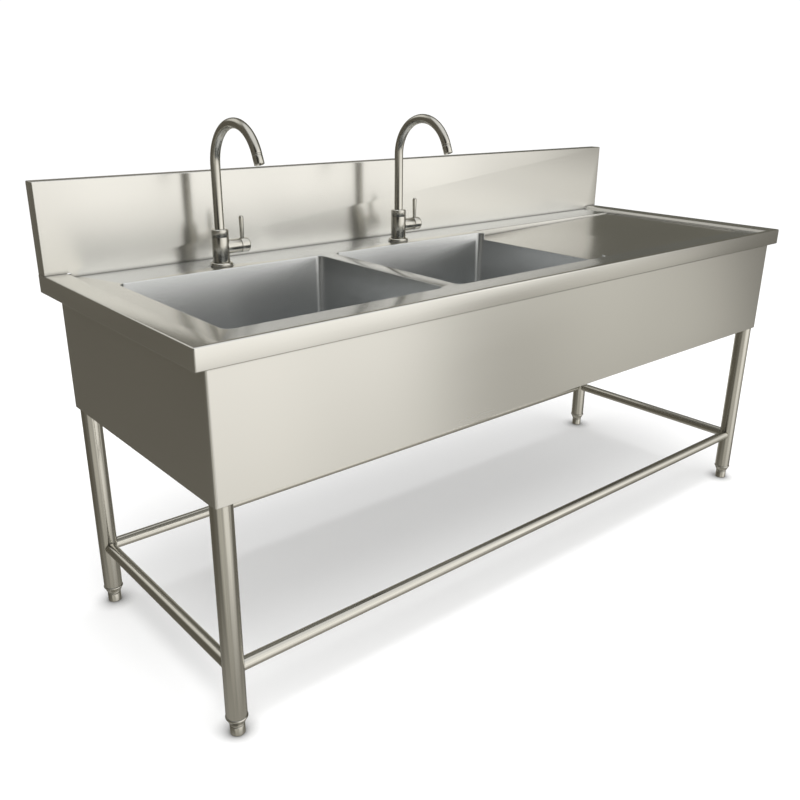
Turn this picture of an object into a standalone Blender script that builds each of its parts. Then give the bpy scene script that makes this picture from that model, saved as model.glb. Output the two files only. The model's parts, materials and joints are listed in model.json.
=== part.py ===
"""Two-bowl stainless sink bench with a recessed drainboard, two swan-neck taps and a tube stand.

Metres, +Z up. The origin is on the floor, under the middle of the bench. +X runs along the
bench from the bowls to the drainboard, and +Y runs from the front towards the splashback.
"""

import math

import bmesh
import bpy
from mathutils import Matrix, Vector

# ---- fits ------------------------------------------------------------------------------
GAP = 0.0003            # clearance between pieces that touch
REACH = 0.02            # how far a cutter runs past the face that it opens
SHEET = 0.0015          # folded stainless sheet

# ---- bench top -------------------------------------------------------------------------
WIDTH = 1.900
DEPTH = 0.705
RIM_HEIGHT = 0.805      # floor to the raised edge
RIM_DROP = 0.042        # height of the turned-down edge
RIM_RETURN = 0.012      # lip turned in under the edge
RIM_ROUND = 0.003       # fold radius along the edge
RAISE = 0.009           # raised edge above the deck
SIDE_STRIP = 0.050      # width of the raised edge at both ends
FRONT_STRIP = 0.013     # width of the raised edge along the front
STRIP_SLOPE = 0.007     # run of the slope from the raised edge to the deck
SPLASH_RISE = 0.196     # splashback above the raised edge
SPLASH_THICK = 0.037
SPLASH_RETURN = 0.022   # lip turned down behind the splashback

# ---- bowls and drainboard --------------------------------------------------------------
LEFT_LEDGE = 0.107      # bench end to the left bowl
FRONT_LEDGE = 0.0905    # front edge to the bowls
REAR_LEDGE = 0.1275     # bowls to the splashback
DIVIDER = 0.042         # deck between the bowls
BOWL_LENGTH = 0.521
BOWL_DEPTH = 0.260
BOWL_CORNER = 0.017
BOWL_FOOT = 0.014       # radius where the walls meet the floor
DRAIN_MARGIN = 0.065    # drainboard to the right end of the bench
DRAIN_REAR_LEDGE = 0.100
DRAIN_SHALLOW = 0.004   # fall below the deck at the far end
DRAIN_DEEP = 0.018      # fall below the deck at the bowl
RIB_WIDTH = 0.040       # channel under the drainboard
RIB_HEIGHT = 0.022

# ---- apron -----------------------------------------------------------------------------
APRON_DROP = 0.298      # raised edge to the apron's lower edge
APRON_FRONT_INSET = 0.0148
APRON_SIDE_INSET = 0.024
APRON_REAR_INSET = 0.0525
APRON_HEM = 0.014
REAR_CHANNEL_HEIGHT = 0.080

# ---- stand -----------------------------------------------------------------------------
LEG_RADIUS = 0.02135
TUBE_WALL = 0.0015
LEG_BOTTOM = 0.043
SOCKET_PLATE = 0.003
SOCKET_REACH = 0.062    # plate length from the leg's outer side
SPIGOT_LENGTH = 0.050
RAIL_RADIUS = 0.0136
RAIL_WALL = 0.0012
RAIL_HEIGHT = 0.151
COLLAR_RADIUS = 0.0226
COLLAR_HEIGHT = 0.008
COLLAR_PLUG = 0.024     # part of the insert inside the tube
FOOT_RADIUS = 0.0152
FOOT_HEIGHT = 0.0212
GROOVE_DEPTH = 0.0012
GROOVE_WIDTH = 0.0025
STEM_RADIUS = 0.008
STEM_LENGTH = 0.048

# ---- taps ------------------------------------------------------------------------------
TAP_SETBACK = 0.0885    # splashback to the tap's axis
TAP_OFFSETS = (0.0077, -0.0154)     # each tap's axis from the middle of its bowl
SHANK_RADIUS = 0.015
SHANK_LENGTH = 0.085    # below the deck
TAP_GASKET = 0.0015
FLANGE_LIP = 0.0067    # flange beyond the body, all round
FLANGE_HEIGHT = 0.007
BODY_RADIUS = 0.0198
BODY_HEIGHT = 0.067     # deck to the swivel sleeve
SLEEVE_HEIGHT = 0.0175
WATERWAY = 0.0083
PIVOT_RADIUS = 0.008
PIVOT_LENGTH = 0.030
SPOUT_RADIUS = 0.0112
ARCH_RADIUS = 0.093
ARCH_HEIGHT = 0.226     # deck to the arch's centre
ARCH_SWEEP = 158.0
AERATOR_LENGTH = 0.022
AERATOR_SOCKET = 0.009
AERATOR_WALL = 0.0018
HOUSING_RADIUS = 0.0172
HOUSING_HEIGHT = 0.042  # deck to the valve housing's axis
HOUSING_LENGTH = 0.0486
VALVE_START = 0.0128
VALVE_RADIUS = 0.0107
VALVE_RECESS = 0.0025
SPINDLE_RADIUS = 0.004
SPINDLE_LENGTH = 0.013
HUB_SEAM = 0.001
HUB_LENGTH = 0.0222
HUB_ROUND = 0.004
LEVER_PLACE = 0.0078    # hub's inner face to the lever's axis
LEVER_LENGTH = 0.069    # hub's axis to the lever's tip
LEVER_ROOT_RADIUS = 0.0045
LEVER_TIP_RADIUS = 0.0055
LEVER_SEAT = 0.006
NUT_RADIUS = 0.024
NUT_HEIGHT = 0.009

# ---- wastes ----------------------------------------------------------------------------
WASTE_FLANGE_RADIUS = 0.056
WASTE_FLANGE = 0.002
WASTE_CUP_RADIUS = 0.042
WASTE_WALL = 0.002
WASTE_CUP_DEPTH = 0.042
WASTE_CONE = 0.016
OUTLET_RADIUS = 0.0235
OUTLET_LENGTH = 0.018
WASTE_GASKET = 0.003
LOCKNUT_HEIGHT = 0.010
LOCKNUT_RADIUS = 0.055
BASKET_LIP_RADIUS = 0.0465
BASKET_RADIUS = 0.036
BASKET_DEPTH = 0.026
BASKET_WALL = 0.0012
KNOB_RADIUS = 0.007
KNOB_HEIGHT = 0.016     # above the basket's floor
TAILPIECE_RADIUS = 0.020
TAILPIECE_LENGTH = 0.058
TAILPIECE_INSERT = 0.014
SLIP_NUT_RADIUS = 0.030
SLIP_NUT_HEIGHT = 0.014

# ---- facets ----------------------------------------------------------------------------
ROUND = 24
FINE_ROUND = 16
CORNER_STEPS = 3
ARCH_STEPS = 12

# ---- worked out from the sizes above ---------------------------------------------------
LEFT = -WIDTH / 2
RIGHT = WIDTH / 2
FRONT = -DEPTH / 2
BACK = DEPTH / 2
DECK = RIM_HEIGHT - RAISE
RIM_BOTTOM = RIM_HEIGHT - RIM_DROP
UNDER_DECK = DECK - SHEET
SPLASH_FACE = BACK - SPLASH_THICK
SPLASH_TOP = RIM_HEIGHT + SPLASH_RISE
STRIP_LEFT = LEFT + SIDE_STRIP
STRIP_RIGHT = RIGHT - SIDE_STRIP
STRIP_FRONT = FRONT + FRONT_STRIP

BOWL_FRONT = FRONT + FRONT_LEDGE
BOWL_BACK = SPLASH_FACE - REAR_LEDGE
BOWL_LEFTS = (LEFT + LEFT_LEDGE, LEFT + LEFT_LEDGE + BOWL_LENGTH + DIVIDER)
BOWL_MIDDLES = tuple(left + BOWL_LENGTH / 2 for left in BOWL_LEFTS)
BOWL_MIDDLE_Y = (BOWL_FRONT + BOWL_BACK) / 2
BOWL_FLOOR = DECK - BOWL_DEPTH
DRAIN_LEFT = BOWL_LEFTS[1] + BOWL_LENGTH + SHEET + GAP
DRAIN_RIGHT = RIGHT - DRAIN_MARGIN
DRAIN_BACK = SPLASH_FACE - DRAIN_REAR_LEDGE

APRON_BOTTOM = RIM_HEIGHT - APRON_DROP
APRON_TOP = UNDER_DECK - GAP
APRON_FRONT = FRONT + APRON_FRONT_INSET
APRON_BACK = BACK - APRON_REAR_INSET
APRON_SIDE = RIGHT - APRON_SIDE_INSET
LEG_X = APRON_SIDE - SHEET - GAP - LEG_RADIUS
LEG_FRONT_Y = APRON_FRONT + SHEET + GAP + LEG_RADIUS
LEG_BACK_Y = APRON_BACK - SHEET - GAP - LEG_RADIUS
LEG_TOP = UNDER_DECK - GAP - SOCKET_PLATE - GAP

TAP_Y = SPLASH_FACE - TAP_SETBACK
TAP_BASE = DECK + GAP + TAP_GASKET + GAP
FLANGE_RADIUS = BODY_RADIUS + FLANGE_LIP
BODY_TOP = DECK + BODY_HEIGHT
ARCH_CENTRE = DECK + ARCH_HEIGHT
HOUSING_Z = DECK + HOUSING_HEIGHT
HUB_START = HOUSING_LENGTH + HUB_SEAM
HOLE_CLEARANCE = 0.0015

CORNERS = (
    ("front_left", -1, LEG_FRONT_Y, 1),
    ("front_right", 1, LEG_FRONT_Y, 1),
    ("rear_left", -1, LEG_BACK_Y, -1),
    ("rear_right", 1, LEG_BACK_Y, -1),
)


def clear_scene():
    for thing in list(bpy.data.objects):
        bpy.data.objects.remove(thing, do_unlink=True)


def finish(name, colour, roughness, metallic):
    material = bpy.data.materials.new(name)
    material.use_nodes = True
    shader = material.node_tree.nodes["Principled BSDF"]
    shader.inputs["Base Color"].default_value = (*colour, 1.0)
    shader.inputs["Roughness"].default_value = roughness
    shader.inputs["Metallic"].default_value = metallic
    return material


def make_finishes():
    return {
        "sheet": finish("brushed_sheet", (0.62, 0.61, 0.58), 0.32, 1.0),
        "tube": finish("brushed_tube", (0.58, 0.57, 0.54), 0.28, 1.0),
        "tap": finish("satin_tap", (0.50, 0.49, 0.46), 0.24, 1.0),
        "foot": finish("turned_foot", (0.45, 0.44, 0.41), 0.30, 1.0),
        "waste": finish("pressed_waste", (0.66, 0.65, 0.63), 0.22, 1.0),
        "zinc": finish("plated_fitting", (0.70, 0.68, 0.60), 0.40, 1.0),
        "rubber": finish("rubber", (0.03, 0.03, 0.03), 0.80, 0.0),
        "plastic": finish("white_plastic", (0.75, 0.75, 0.73), 0.50, 0.0),
    }


# ---- modelling helpers -----------------------------------------------------------------
def add_object(name, mesh_data, look=None, location=(0, 0, 0), rotation=(0, 0, 0)):
    """Turns a bmesh into a named object, and shades its round faces smooth."""
    bmesh.ops.recalc_face_normals(mesh_data, faces=mesh_data.faces)
    mesh = bpy.data.meshes.new(name)
    mesh_data.to_mesh(mesh)
    mesh_data.free()
    mesh.shade_smooth()
    mesh.set_sharp_from_angle(angle=math.radians(35))
    thing = bpy.data.objects.new(name, mesh)
    bpy.context.collection.objects.link(thing)
    thing.location = location
    thing.rotation_euler = rotation
    if look:
        mesh.materials.append(look)
    return thing


def as_tool(thing):
    """Marks an object as a cutter or a joining shape, which isn't a piece of the bench."""
    thing.hide_render = True
    thing.display_type = "WIRE"
    return thing


def combine(target, tool, operation):
    step = target.modifiers.new(tool.name, "BOOLEAN")
    step.operation = operation
    step.solver = "EXACT"
    step.object = as_tool(tool)


def cut(target, *tools):
    for tool in tools:
        combine(target, tool, "DIFFERENCE")


def join(target, *tools):
    for tool in tools:
        combine(target, tool, "UNION")


def box_mesh(low, high):
    low, high = Vector(low), Vector(high)
    shape = bmesh.new()
    bmesh.ops.create_cube(shape, size=1.0)
    bmesh.ops.scale(shape, vec=high - low, verts=shape.verts)
    bmesh.ops.translate(shape, vec=(low + high) / 2, verts=shape.verts)
    return shape


def box(name, low, high, look=None):
    return add_object(name, box_mesh(low, high), look)


def round_edges(shape, edges, radius, steps):
    bmesh.ops.bevel(
        shape, geom=edges, offset=radius, segments=steps, profile=0.5,
        affect="EDGES", material=-1, clamp_overlap=True,
    )


def is_upright(edge):
    ends = [vert.co for vert in edge.verts]
    return abs(ends[0].z - ends[1].z) > (ends[0] - ends[1]).length * 0.9


def tub_mesh(low, high, corner, foot):
    """A box with round upright corners and a round lower edge."""
    shape = box_mesh(low, high)
    round_edges(shape, [edge for edge in shape.edges if is_upright(edge)], corner, CORNER_STEPS)
    bottom = [
        edge for edge in shape.edges
        if all(abs(vert.co.z - low[2]) < GAP for vert in edge.verts)
    ]
    round_edges(shape, bottom, foot, CORNER_STEPS)
    return shape


def turned_mesh(outline, facets):
    """Spins an outline of (radius, height) points round Z. A ring's outline ends where it starts."""
    shape = bmesh.new()
    points = [shape.verts.new((radius, 0, height)) for radius, height in outline]
    edges = [shape.edges.new(pair) for pair in zip(points, points[1:])]
    bmesh.ops.spin(
        shape, geom=points + edges, cent=(0, 0, 0), axis=(0, 0, 1), dvec=(0, 0, 0),
        angle=2 * math.pi, steps=facets, use_merge=True, use_duplicate=False,
    )
    bmesh.ops.remove_doubles(shape, verts=shape.verts, dist=1e-6)
    return shape


def turned(name, outline, look=None, location=(0, 0, 0), facets=ROUND, rotation=(0, 0, 0)):
    return add_object(name, turned_mesh(outline, facets), look, location, rotation)


def rod(name, radius, bottom, top, look=None, location=(0, 0, 0), facets=ROUND, rotation=(0, 0, 0)):
    outline = [(0, bottom), (radius, bottom), (radius, top), (0, top)]
    return turned(name, outline, look, location, facets, rotation)


def ring_outline(inner, outer, bottom, top):
    return [(inner, bottom), (outer, bottom), (outer, top), (inner, top), (inner, bottom)]


def ring(name, inner, outer, bottom, top, look, location=(0, 0, 0), facets=ROUND):
    return turned(name, ring_outline(inner, outer, bottom, top), look, location, facets)


def nut(name, bore, outer, sides, bottom, top, look, location, facets=ROUND):
    """A nut with flat sides and a round hole."""
    body = rod(name, outer, bottom, top, look, location, sides)
    cut(body, rod(name + "_bore", bore, bottom - REACH, top + REACH, None, location, facets))


def arc(centre, radius, start, end, steps):
    """Points of a circular arc in an outline, with angles in degrees."""
    turns = [math.radians(start + (end - start) * step / steps) for step in range(steps + 1)]
    return [(centre[0] + radius * math.cos(a), centre[1] + radius * math.sin(a)) for a in turns]


# ---- bench top -------------------------------------------------------------------------
def deck_recess():
    """The space above the deck, inside the raised edge. Its sides slope outwards."""
    low = (STRIP_LEFT + STRIP_SLOPE, STRIP_FRONT + STRIP_SLOPE, DECK)
    high = (STRIP_RIGHT - STRIP_SLOPE, BACK + REACH, RIM_HEIGHT + REACH)
    shape = box_mesh(low, high)
    spread = STRIP_SLOPE * (RAISE + REACH) / RAISE
    for vert in shape.verts:
        if vert.co.z > DECK + GAP:
            vert.co.x += math.copysign(spread, vert.co.x)
            if vert.co.y < 0:
                vert.co.y -= spread
    return add_object("deck_recess", shape)


def bowl_tub(name, number, grow, top, look=None):
    """The left or right bowl's shape, made larger all round by grow."""
    left = BOWL_LEFTS[number]
    low = (left - grow, BOWL_FRONT - grow, BOWL_FLOOR - grow)
    high = (left + BOWL_LENGTH + grow, BOWL_BACK + grow, top)
    return add_object(name, tub_mesh(low, high, BOWL_CORNER + grow, BOWL_FOOT + grow), look)


def drain_fall(x):
    """How far the drainboard lies below the deck at x."""
    share = (DRAIN_RIGHT - x) / (DRAIN_RIGHT - DRAIN_LEFT)
    return DRAIN_SHALLOW + (DRAIN_DEEP - DRAIN_SHALLOW) * share


def sloped_block(name, low, high, below, look=None):
    """A box whose underside lies a given distance below the drainboard's slope."""
    shape = box_mesh(low, high)
    for vert in shape.verts:
        if vert.co.z < (low[2] + high[2]) / 2:
            vert.co.z = DECK - drain_fall(vert.co.x) - below
    return add_object(name, shape, look)


def make_worktop(look):
    shape = box_mesh((LEFT, FRONT, RIM_BOTTOM), (RIGHT, BACK, RIM_HEIGHT))
    outer = [
        edge for edge in shape.edges
        if all(vert.co.z > RIM_HEIGHT - GAP for vert in edge.verts)
        and not all(vert.co.y > BACK - GAP for vert in edge.verts)
    ]
    round_edges(shape, outer, RIM_ROUND, 2)
    top = add_object("worktop", shape, look)
    under = box(
        "under_deck",
        (LEFT + SHEET, FRONT + SHEET, RIM_BOTTOM + SHEET),
        (RIGHT - SHEET, BACK - SHEET, UNDER_DECK),
    )
    mouth = box(
        "under_mouth",
        (LEFT + RIM_RETURN, FRONT + RIM_RETURN, RIM_BOTTOM - REACH),
        (RIGHT - RIM_RETURN, BACK - SHEET, RIM_BOTTOM + REACH / 2),
    )
    cut(top, deck_recess(), under, mouth)
    for side, name in ((-1, "left_strip_hollow"), (1, "right_strip_hollow")):
        ends = sorted((side * (RIGHT - SHEET), side * (STRIP_RIGHT + SHEET)))
        cut(top, box(
            name,
            (ends[0], FRONT + SHEET, RIM_BOTTOM + REACH / 2),
            (ends[1], BACK - SHEET, RIM_HEIGHT - SHEET),
        ))
    for number, name in enumerate(("left_bowl_opening", "right_bowl_opening")):
        cut(top, bowl_tub(name, number, SHEET + GAP, RIM_HEIGHT + REACH))
    cut(top, box(
        "drain_opening",
        (DRAIN_LEFT - GAP, BOWL_FRONT - GAP, UNDER_DECK - REACH),
        (DRAIN_RIGHT + GAP, DRAIN_BACK + GAP, RIM_HEIGHT + REACH),
    ))
    for middle, offset in zip(BOWL_MIDDLES, TAP_OFFSETS):
        cut(top, rod(
            "tap_hole", SHANK_RADIUS + HOLE_CLEARANCE, UNDER_DECK - REACH, DECK + REACH,
            location=(middle + offset, TAP_Y, 0), facets=FINE_ROUND,
        ))
    return top


def make_splashback(look):
    splash = box("splashback", (LEFT, SPLASH_FACE, DECK + GAP), (RIGHT, BACK, SPLASH_TOP), look)
    hollow = box(
        "splash_hollow",
        (LEFT + SHEET, SPLASH_FACE + SHEET, DECK - REACH),
        (RIGHT - SHEET, BACK - SHEET, SPLASH_TOP - SHEET),
    )
    open_back = box(
        "splash_open_back",
        (LEFT + SPLASH_RETURN, BACK - SPLASH_THICK / 2, DECK - REACH),
        (RIGHT - SPLASH_RETURN, BACK + REACH, SPLASH_TOP - SPLASH_RETURN),
    )
    cut(splash, hollow, open_back)
    reach_in = SIDE_STRIP + STRIP_SLOPE + GAP
    for side, name in ((-1, "left_strip_notch"), (1, "right_strip_notch")):
        ends = sorted((side * (RIGHT + REACH), side * (RIGHT - reach_in)))
        cut(splash, box(
            name,
            (ends[0], SPLASH_FACE - REACH, DECK - REACH),
            (ends[1], BACK + REACH, RIM_HEIGHT + GAP),
        ))
    return splash


def make_bowl(number, name, look):
    bowl = bowl_tub(name, number, SHEET, DECK, look)
    hole = rod(
        name + "_waste_hole", WASTE_CUP_RADIUS + GAP, BOWL_FLOOR - REACH, BOWL_FLOOR + REACH,
        location=(BOWL_MIDDLES[number], BOWL_MIDDLE_Y, 0),
    )
    cut(bowl, bowl_tub(name + "_inside", number, 0, DECK + REACH), hole)
    return bowl


def lower_bowl_wall(bowl):
    """Cuts the wall beside the drainboard down to the drainboard's lower end."""
    right = BOWL_LEFTS[1] + BOWL_LENGTH
    inset = BOWL_CORNER + SHEET
    cut(bowl, box(
        "drain_lip_cut",
        (right - SHEET, BOWL_FRONT + inset, DECK - DRAIN_DEEP),
        (right + REACH, BOWL_BACK - inset, DECK + REACH),
    ))


def make_drainboard(look):
    low = (DRAIN_LEFT, BOWL_FRONT, DECK - DRAIN_DEEP)
    high = (DRAIN_RIGHT, DRAIN_BACK, DECK)
    tray = sloped_block("drainboard", low, high, SHEET, look)
    inside = sloped_block(
        "drainboard_inside",
        (DRAIN_LEFT + SHEET, BOWL_FRONT + SHEET, low[2]),
        (DRAIN_RIGHT - SHEET, DRAIN_BACK - SHEET, DECK + REACH),
        0,
    )
    inset = BOWL_CORNER + SHEET
    spill = sloped_block(
        "drainboard_spill",
        (DRAIN_LEFT - REACH, BOWL_FRONT + inset, low[2]),
        (DRAIN_LEFT + REACH, BOWL_BACK - inset, DECK + REACH),
        0,
    )
    cut(tray, inside, spill)
    return tray


def make_drain_rib(look):
    """A channel under the drainboard, open downwards, that keeps it from drumming."""
    middle = (DRAIN_LEFT + DRAIN_RIGHT) / 2
    top = DECK - DRAIN_DEEP - SHEET - GAP
    low = (middle - RIB_WIDTH / 2, BOWL_FRONT + SHEET, top - RIB_HEIGHT)
    high = (middle + RIB_WIDTH / 2, DRAIN_BACK - SHEET, top)
    rib = sloped_block("drainboard_rib", low, high, RIB_HEIGHT + SHEET + GAP, look)
    for vert in rib.data.vertices:
        if vert.co.z > DECK - drain_fall(vert.co.x) - SHEET - GAP - RIB_HEIGHT / 2:
            vert.co.z = DECK - drain_fall(vert.co.x) - SHEET - GAP
    hollow = box_mesh(
        (low[0] + SHEET, low[1] - REACH, low[2] - REACH),
        (high[0] - SHEET, high[1] + REACH, top),
    )
    for vert in hollow.verts:
        if vert.co.z > low[2]:
            vert.co.z = DECK - drain_fall(vert.co.x) - SHEET - GAP - SHEET
    cut(rib, add_object("rib_hollow", hollow))
    return rib


# ---- apron -----------------------------------------------------------------------------
def make_aprons(look):
    inner_front = APRON_FRONT + SHEET
    hem_side = LEG_X - LEG_RADIUS - GAP
    front = box(
        "front_apron",
        (-APRON_SIDE, APRON_FRONT, APRON_BOTTOM), (APRON_SIDE, inner_front, APRON_TOP), look,
    )
    join(front, box(
        "front_hem",
        (-hem_side, APRON_FRONT + SHEET / 2, APRON_BOTTOM),
        (hem_side, APRON_FRONT + APRON_HEM, APRON_BOTTOM + SHEET),
    ))
    for side, name in ((-1, "left_apron"), (1, "right_apron")):
        ends = sorted((side * APRON_SIDE, side * (APRON_SIDE - SHEET)))
        panel = box(
            name, (ends[0], inner_front + GAP, APRON_BOTTOM), (ends[1], APRON_BACK, APRON_TOP), look,
        )
        ends = sorted((side * (APRON_SIDE - SHEET / 2), side * (APRON_SIDE - APRON_HEM)))
        join(panel, box(
            name + "_hem",
            (ends[0], LEG_FRONT_Y + LEG_RADIUS + GAP, APRON_BOTTOM),
            (ends[1], LEG_BACK_Y - LEG_RADIUS - GAP, APRON_BOTTOM + SHEET),
        ))
    inner_side = APRON_SIDE - SHEET - GAP
    rear_low = APRON_TOP - REAR_CHANNEL_HEIGHT
    rear = box(
        "rear_channel",
        (-inner_side, APRON_BACK - SHEET, rear_low), (inner_side, APRON_BACK, APRON_TOP), look,
    )
    join(rear, box(
        "rear_channel_flange",
        (-hem_side, APRON_BACK - APRON_HEM * 2, rear_low),
        (hem_side, APRON_BACK - SHEET / 2, rear_low + SHEET),
    ))


# ---- stand -----------------------------------------------------------------------------
def make_leg(corner, x, y, inwards_x, inwards_y, looks):
    ring(
        "leg_" + corner, LEG_RADIUS - TUBE_WALL, LEG_RADIUS, LEG_BOTTOM, LEG_TOP,
        looks["tube"], (x, y, 0),
    )
    far_x = x + inwards_x * (SOCKET_REACH - LEG_RADIUS)
    far_y = y + inwards_y * (SOCKET_REACH - LEG_RADIUS)
    near_x = x - inwards_x * LEG_RADIUS
    near_y = y - inwards_y * LEG_RADIUS
    plate = box(
        "leg_socket_" + corner,
        (min(near_x, far_x), min(near_y, far_y), LEG_TOP + GAP),
        (max(near_x, far_x), max(near_y, far_y), LEG_TOP + GAP + SOCKET_PLATE),
        looks["zinc"],
    )
    join(plate, rod(
        "spigot_" + corner, LEG_RADIUS - TUBE_WALL - GAP, LEG_TOP - SPIGOT_LENGTH,
        LEG_TOP + GAP + SOCKET_PLATE / 2, location=(x, y, 0),
    ))


def make_foot(corner, x, y, looks):
    plug_radius = LEG_RADIUS - TUBE_WALL - GAP
    collar_top = LEG_BOTTOM - GAP
    collar_low = collar_top - COLLAR_HEIGHT
    nose = FOOT_HEIGHT + GAP
    bore = STEM_RADIUS + GAP
    taper = arc(
        (COLLAR_RADIUS - (collar_low - nose), collar_low), collar_low - nose, 0, -60, CORNER_STEPS,
    )
    outline = [
        (bore, nose), (bore, collar_top + COLLAR_PLUG), (plug_radius, collar_top + COLLAR_PLUG),
        (plug_radius, collar_top), (COLLAR_RADIUS, collar_top), *taper,
        (FOOT_RADIUS, nose), (bore, nose),
    ]
    turned("foot_insert_" + corner, outline, looks["foot"], (x, y, 0))
    groove_top = FOOT_HEIGHT - GROOVE_WIDTH / 2
    outline = [
        (0, 0), (FOOT_RADIUS - GROOVE_DEPTH, 0), (FOOT_RADIUS, GROOVE_DEPTH),
        (FOOT_RADIUS, groove_top - GROOVE_WIDTH),
        (FOOT_RADIUS - GROOVE_DEPTH, groove_top - GROOVE_WIDTH),
        (FOOT_RADIUS - GROOVE_DEPTH, groove_top), (FOOT_RADIUS, groove_top),
        (FOOT_RADIUS, FOOT_HEIGHT), (STEM_RADIUS, FOOT_HEIGHT),
        (STEM_RADIUS, FOOT_HEIGHT + STEM_LENGTH), (0, FOOT_HEIGHT + STEM_LENGTH),
    ]
    turned("foot_" + corner, outline, looks["foot"], (x, y, 0))


def make_rail(name, start, end, look):
    """A tube between two legs, with its ends shaped to sit on them."""
    start, end = Vector(start), Vector(end)
    along = end - start
    turn = along.to_track_quat("Z", "X").to_euler()
    rail = turned(
        name, ring_outline(RAIL_RADIUS - RAIL_WALL, RAIL_RADIUS, 0, along.length), look,
        start, FINE_ROUND, turn,
    )
    for number, place in enumerate((start, end)):
        cut(rail, rod(
            f"{name}_cope_{number}", LEG_RADIUS + GAP, -RAIL_RADIUS * 2, RAIL_RADIUS * 2,
            location=place,
        ))


def make_stand(looks):
    for corner, side, y, inwards_y in CORNERS:
        make_leg(corner, side * LEG_X, y, -side, inwards_y, looks)
        make_foot(corner, side * LEG_X, y, looks)
    z = RAIL_HEIGHT
    tube = looks["tube"]
    make_rail("front_rail", (-LEG_X, LEG_FRONT_Y, z), (LEG_X, LEG_FRONT_Y, z), tube)
    make_rail("rear_rail", (-LEG_X, LEG_BACK_Y, z), (LEG_X, LEG_BACK_Y, z), tube)
    make_rail("left_rail", (-LEG_X, LEG_FRONT_Y, z), (-LEG_X, LEG_BACK_Y, z), tube)
    make_rail("right_rail", (LEG_X, LEG_FRONT_Y, z), (LEG_X, LEG_BACK_Y, z), tube)


# ---- taps ------------------------------------------------------------------------------
def make_tap_body(side, x, looks):
    outline = [
        (WATERWAY, UNDER_DECK - SHANK_LENGTH), (SHANK_RADIUS, UNDER_DECK - SHANK_LENGTH),
        (SHANK_RADIUS, TAP_BASE), (BODY_RADIUS, TAP_BASE), (BODY_RADIUS, BODY_TOP),
        (WATERWAY, BODY_TOP), (WATERWAY, UNDER_DECK - SHANK_LENGTH),
    ]
    place = (x, TAP_Y, 0)
    body = turned(f"tap_body_{side}", outline, looks["tap"], place)
    sideways = (0, math.pi / 2, 0)
    valve_axis = (x, TAP_Y, HOUSING_Z)
    housing_start = (WATERWAY + BODY_RADIUS) / 2
    join(body, rod(
        f"housing_{side}", HOUSING_RADIUS, housing_start, HOUSING_LENGTH,
        location=valve_axis, rotation=sideways,
    ))
    cut(body, rod(
        f"valve_bore_{side}", VALVE_RADIUS + GAP, VALVE_START - GAP, HOUSING_LENGTH + REACH,
        location=valve_axis, facets=FINE_ROUND, rotation=sideways,
    ))
    valve_end = HOUSING_LENGTH - VALVE_RECESS
    bore = SPINDLE_RADIUS + GAP
    seat = valve_end - SPINDLE_LENGTH
    outline = [
        (0, VALVE_START), (VALVE_RADIUS, VALVE_START), (VALVE_RADIUS, valve_end),
        (bore, valve_end), (bore, seat - GAP), (0, seat - GAP),
    ]
    turned(f"valve_{side}", outline, looks["zinc"], valve_axis, FINE_ROUND, sideways)


def make_tap_fixing(side, x, looks):
    place = (x, TAP_Y, 0)
    hole = SHANK_RADIUS + GAP
    ring(
        f"tap_gasket_{side}", hole, FLANGE_RADIUS - HOLE_CLEARANCE, DECK + GAP,
        DECK + GAP + TAP_GASKET, looks["rubber"], place,
    )
    top = TAP_BASE + FLANGE_HEIGHT
    bore = BODY_RADIUS + GAP
    outline = [
        (bore, TAP_BASE), (FLANGE_RADIUS, TAP_BASE), (FLANGE_RADIUS, TAP_BASE + FLANGE_HEIGHT / 3),
        *arc((bore + SHEET, TAP_BASE + FLANGE_HEIGHT / 3), FLANGE_HEIGHT * 0.45, 0, 80, CORNER_STEPS),
        (bore + SHEET, top), (bore, top), (bore, TAP_BASE),
    ]
    turned(f"tap_flange_{side}", outline, looks["tap"], place)
    nut(
        f"tap_nut_{side}", hole, NUT_RADIUS, 6, UNDER_DECK - GAP - NUT_HEIGHT, UNDER_DECK - GAP,
        looks["zinc"], place,
    )


def extrude_cap(shape, cap, shift, scale=1.0):
    """Extrudes the end face, moves it, and scales it about its own centre."""
    made = bmesh.ops.extrude_face_region(shape, geom=[cap, *cap.edges])["geom"]
    cap_verts = [item for item in made if isinstance(item, bmesh.types.BMVert)]
    new_cap = [item for item in made if isinstance(item, bmesh.types.BMFace)][0]
    bmesh.ops.translate(shape, vec=shift, verts=cap_verts)
    middle = new_cap.calc_center_median()
    bmesh.ops.scale(
        shape, vec=(scale, scale, scale), space=Matrix.Translation(-middle), verts=cap_verts,
    )
    return new_cap


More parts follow.
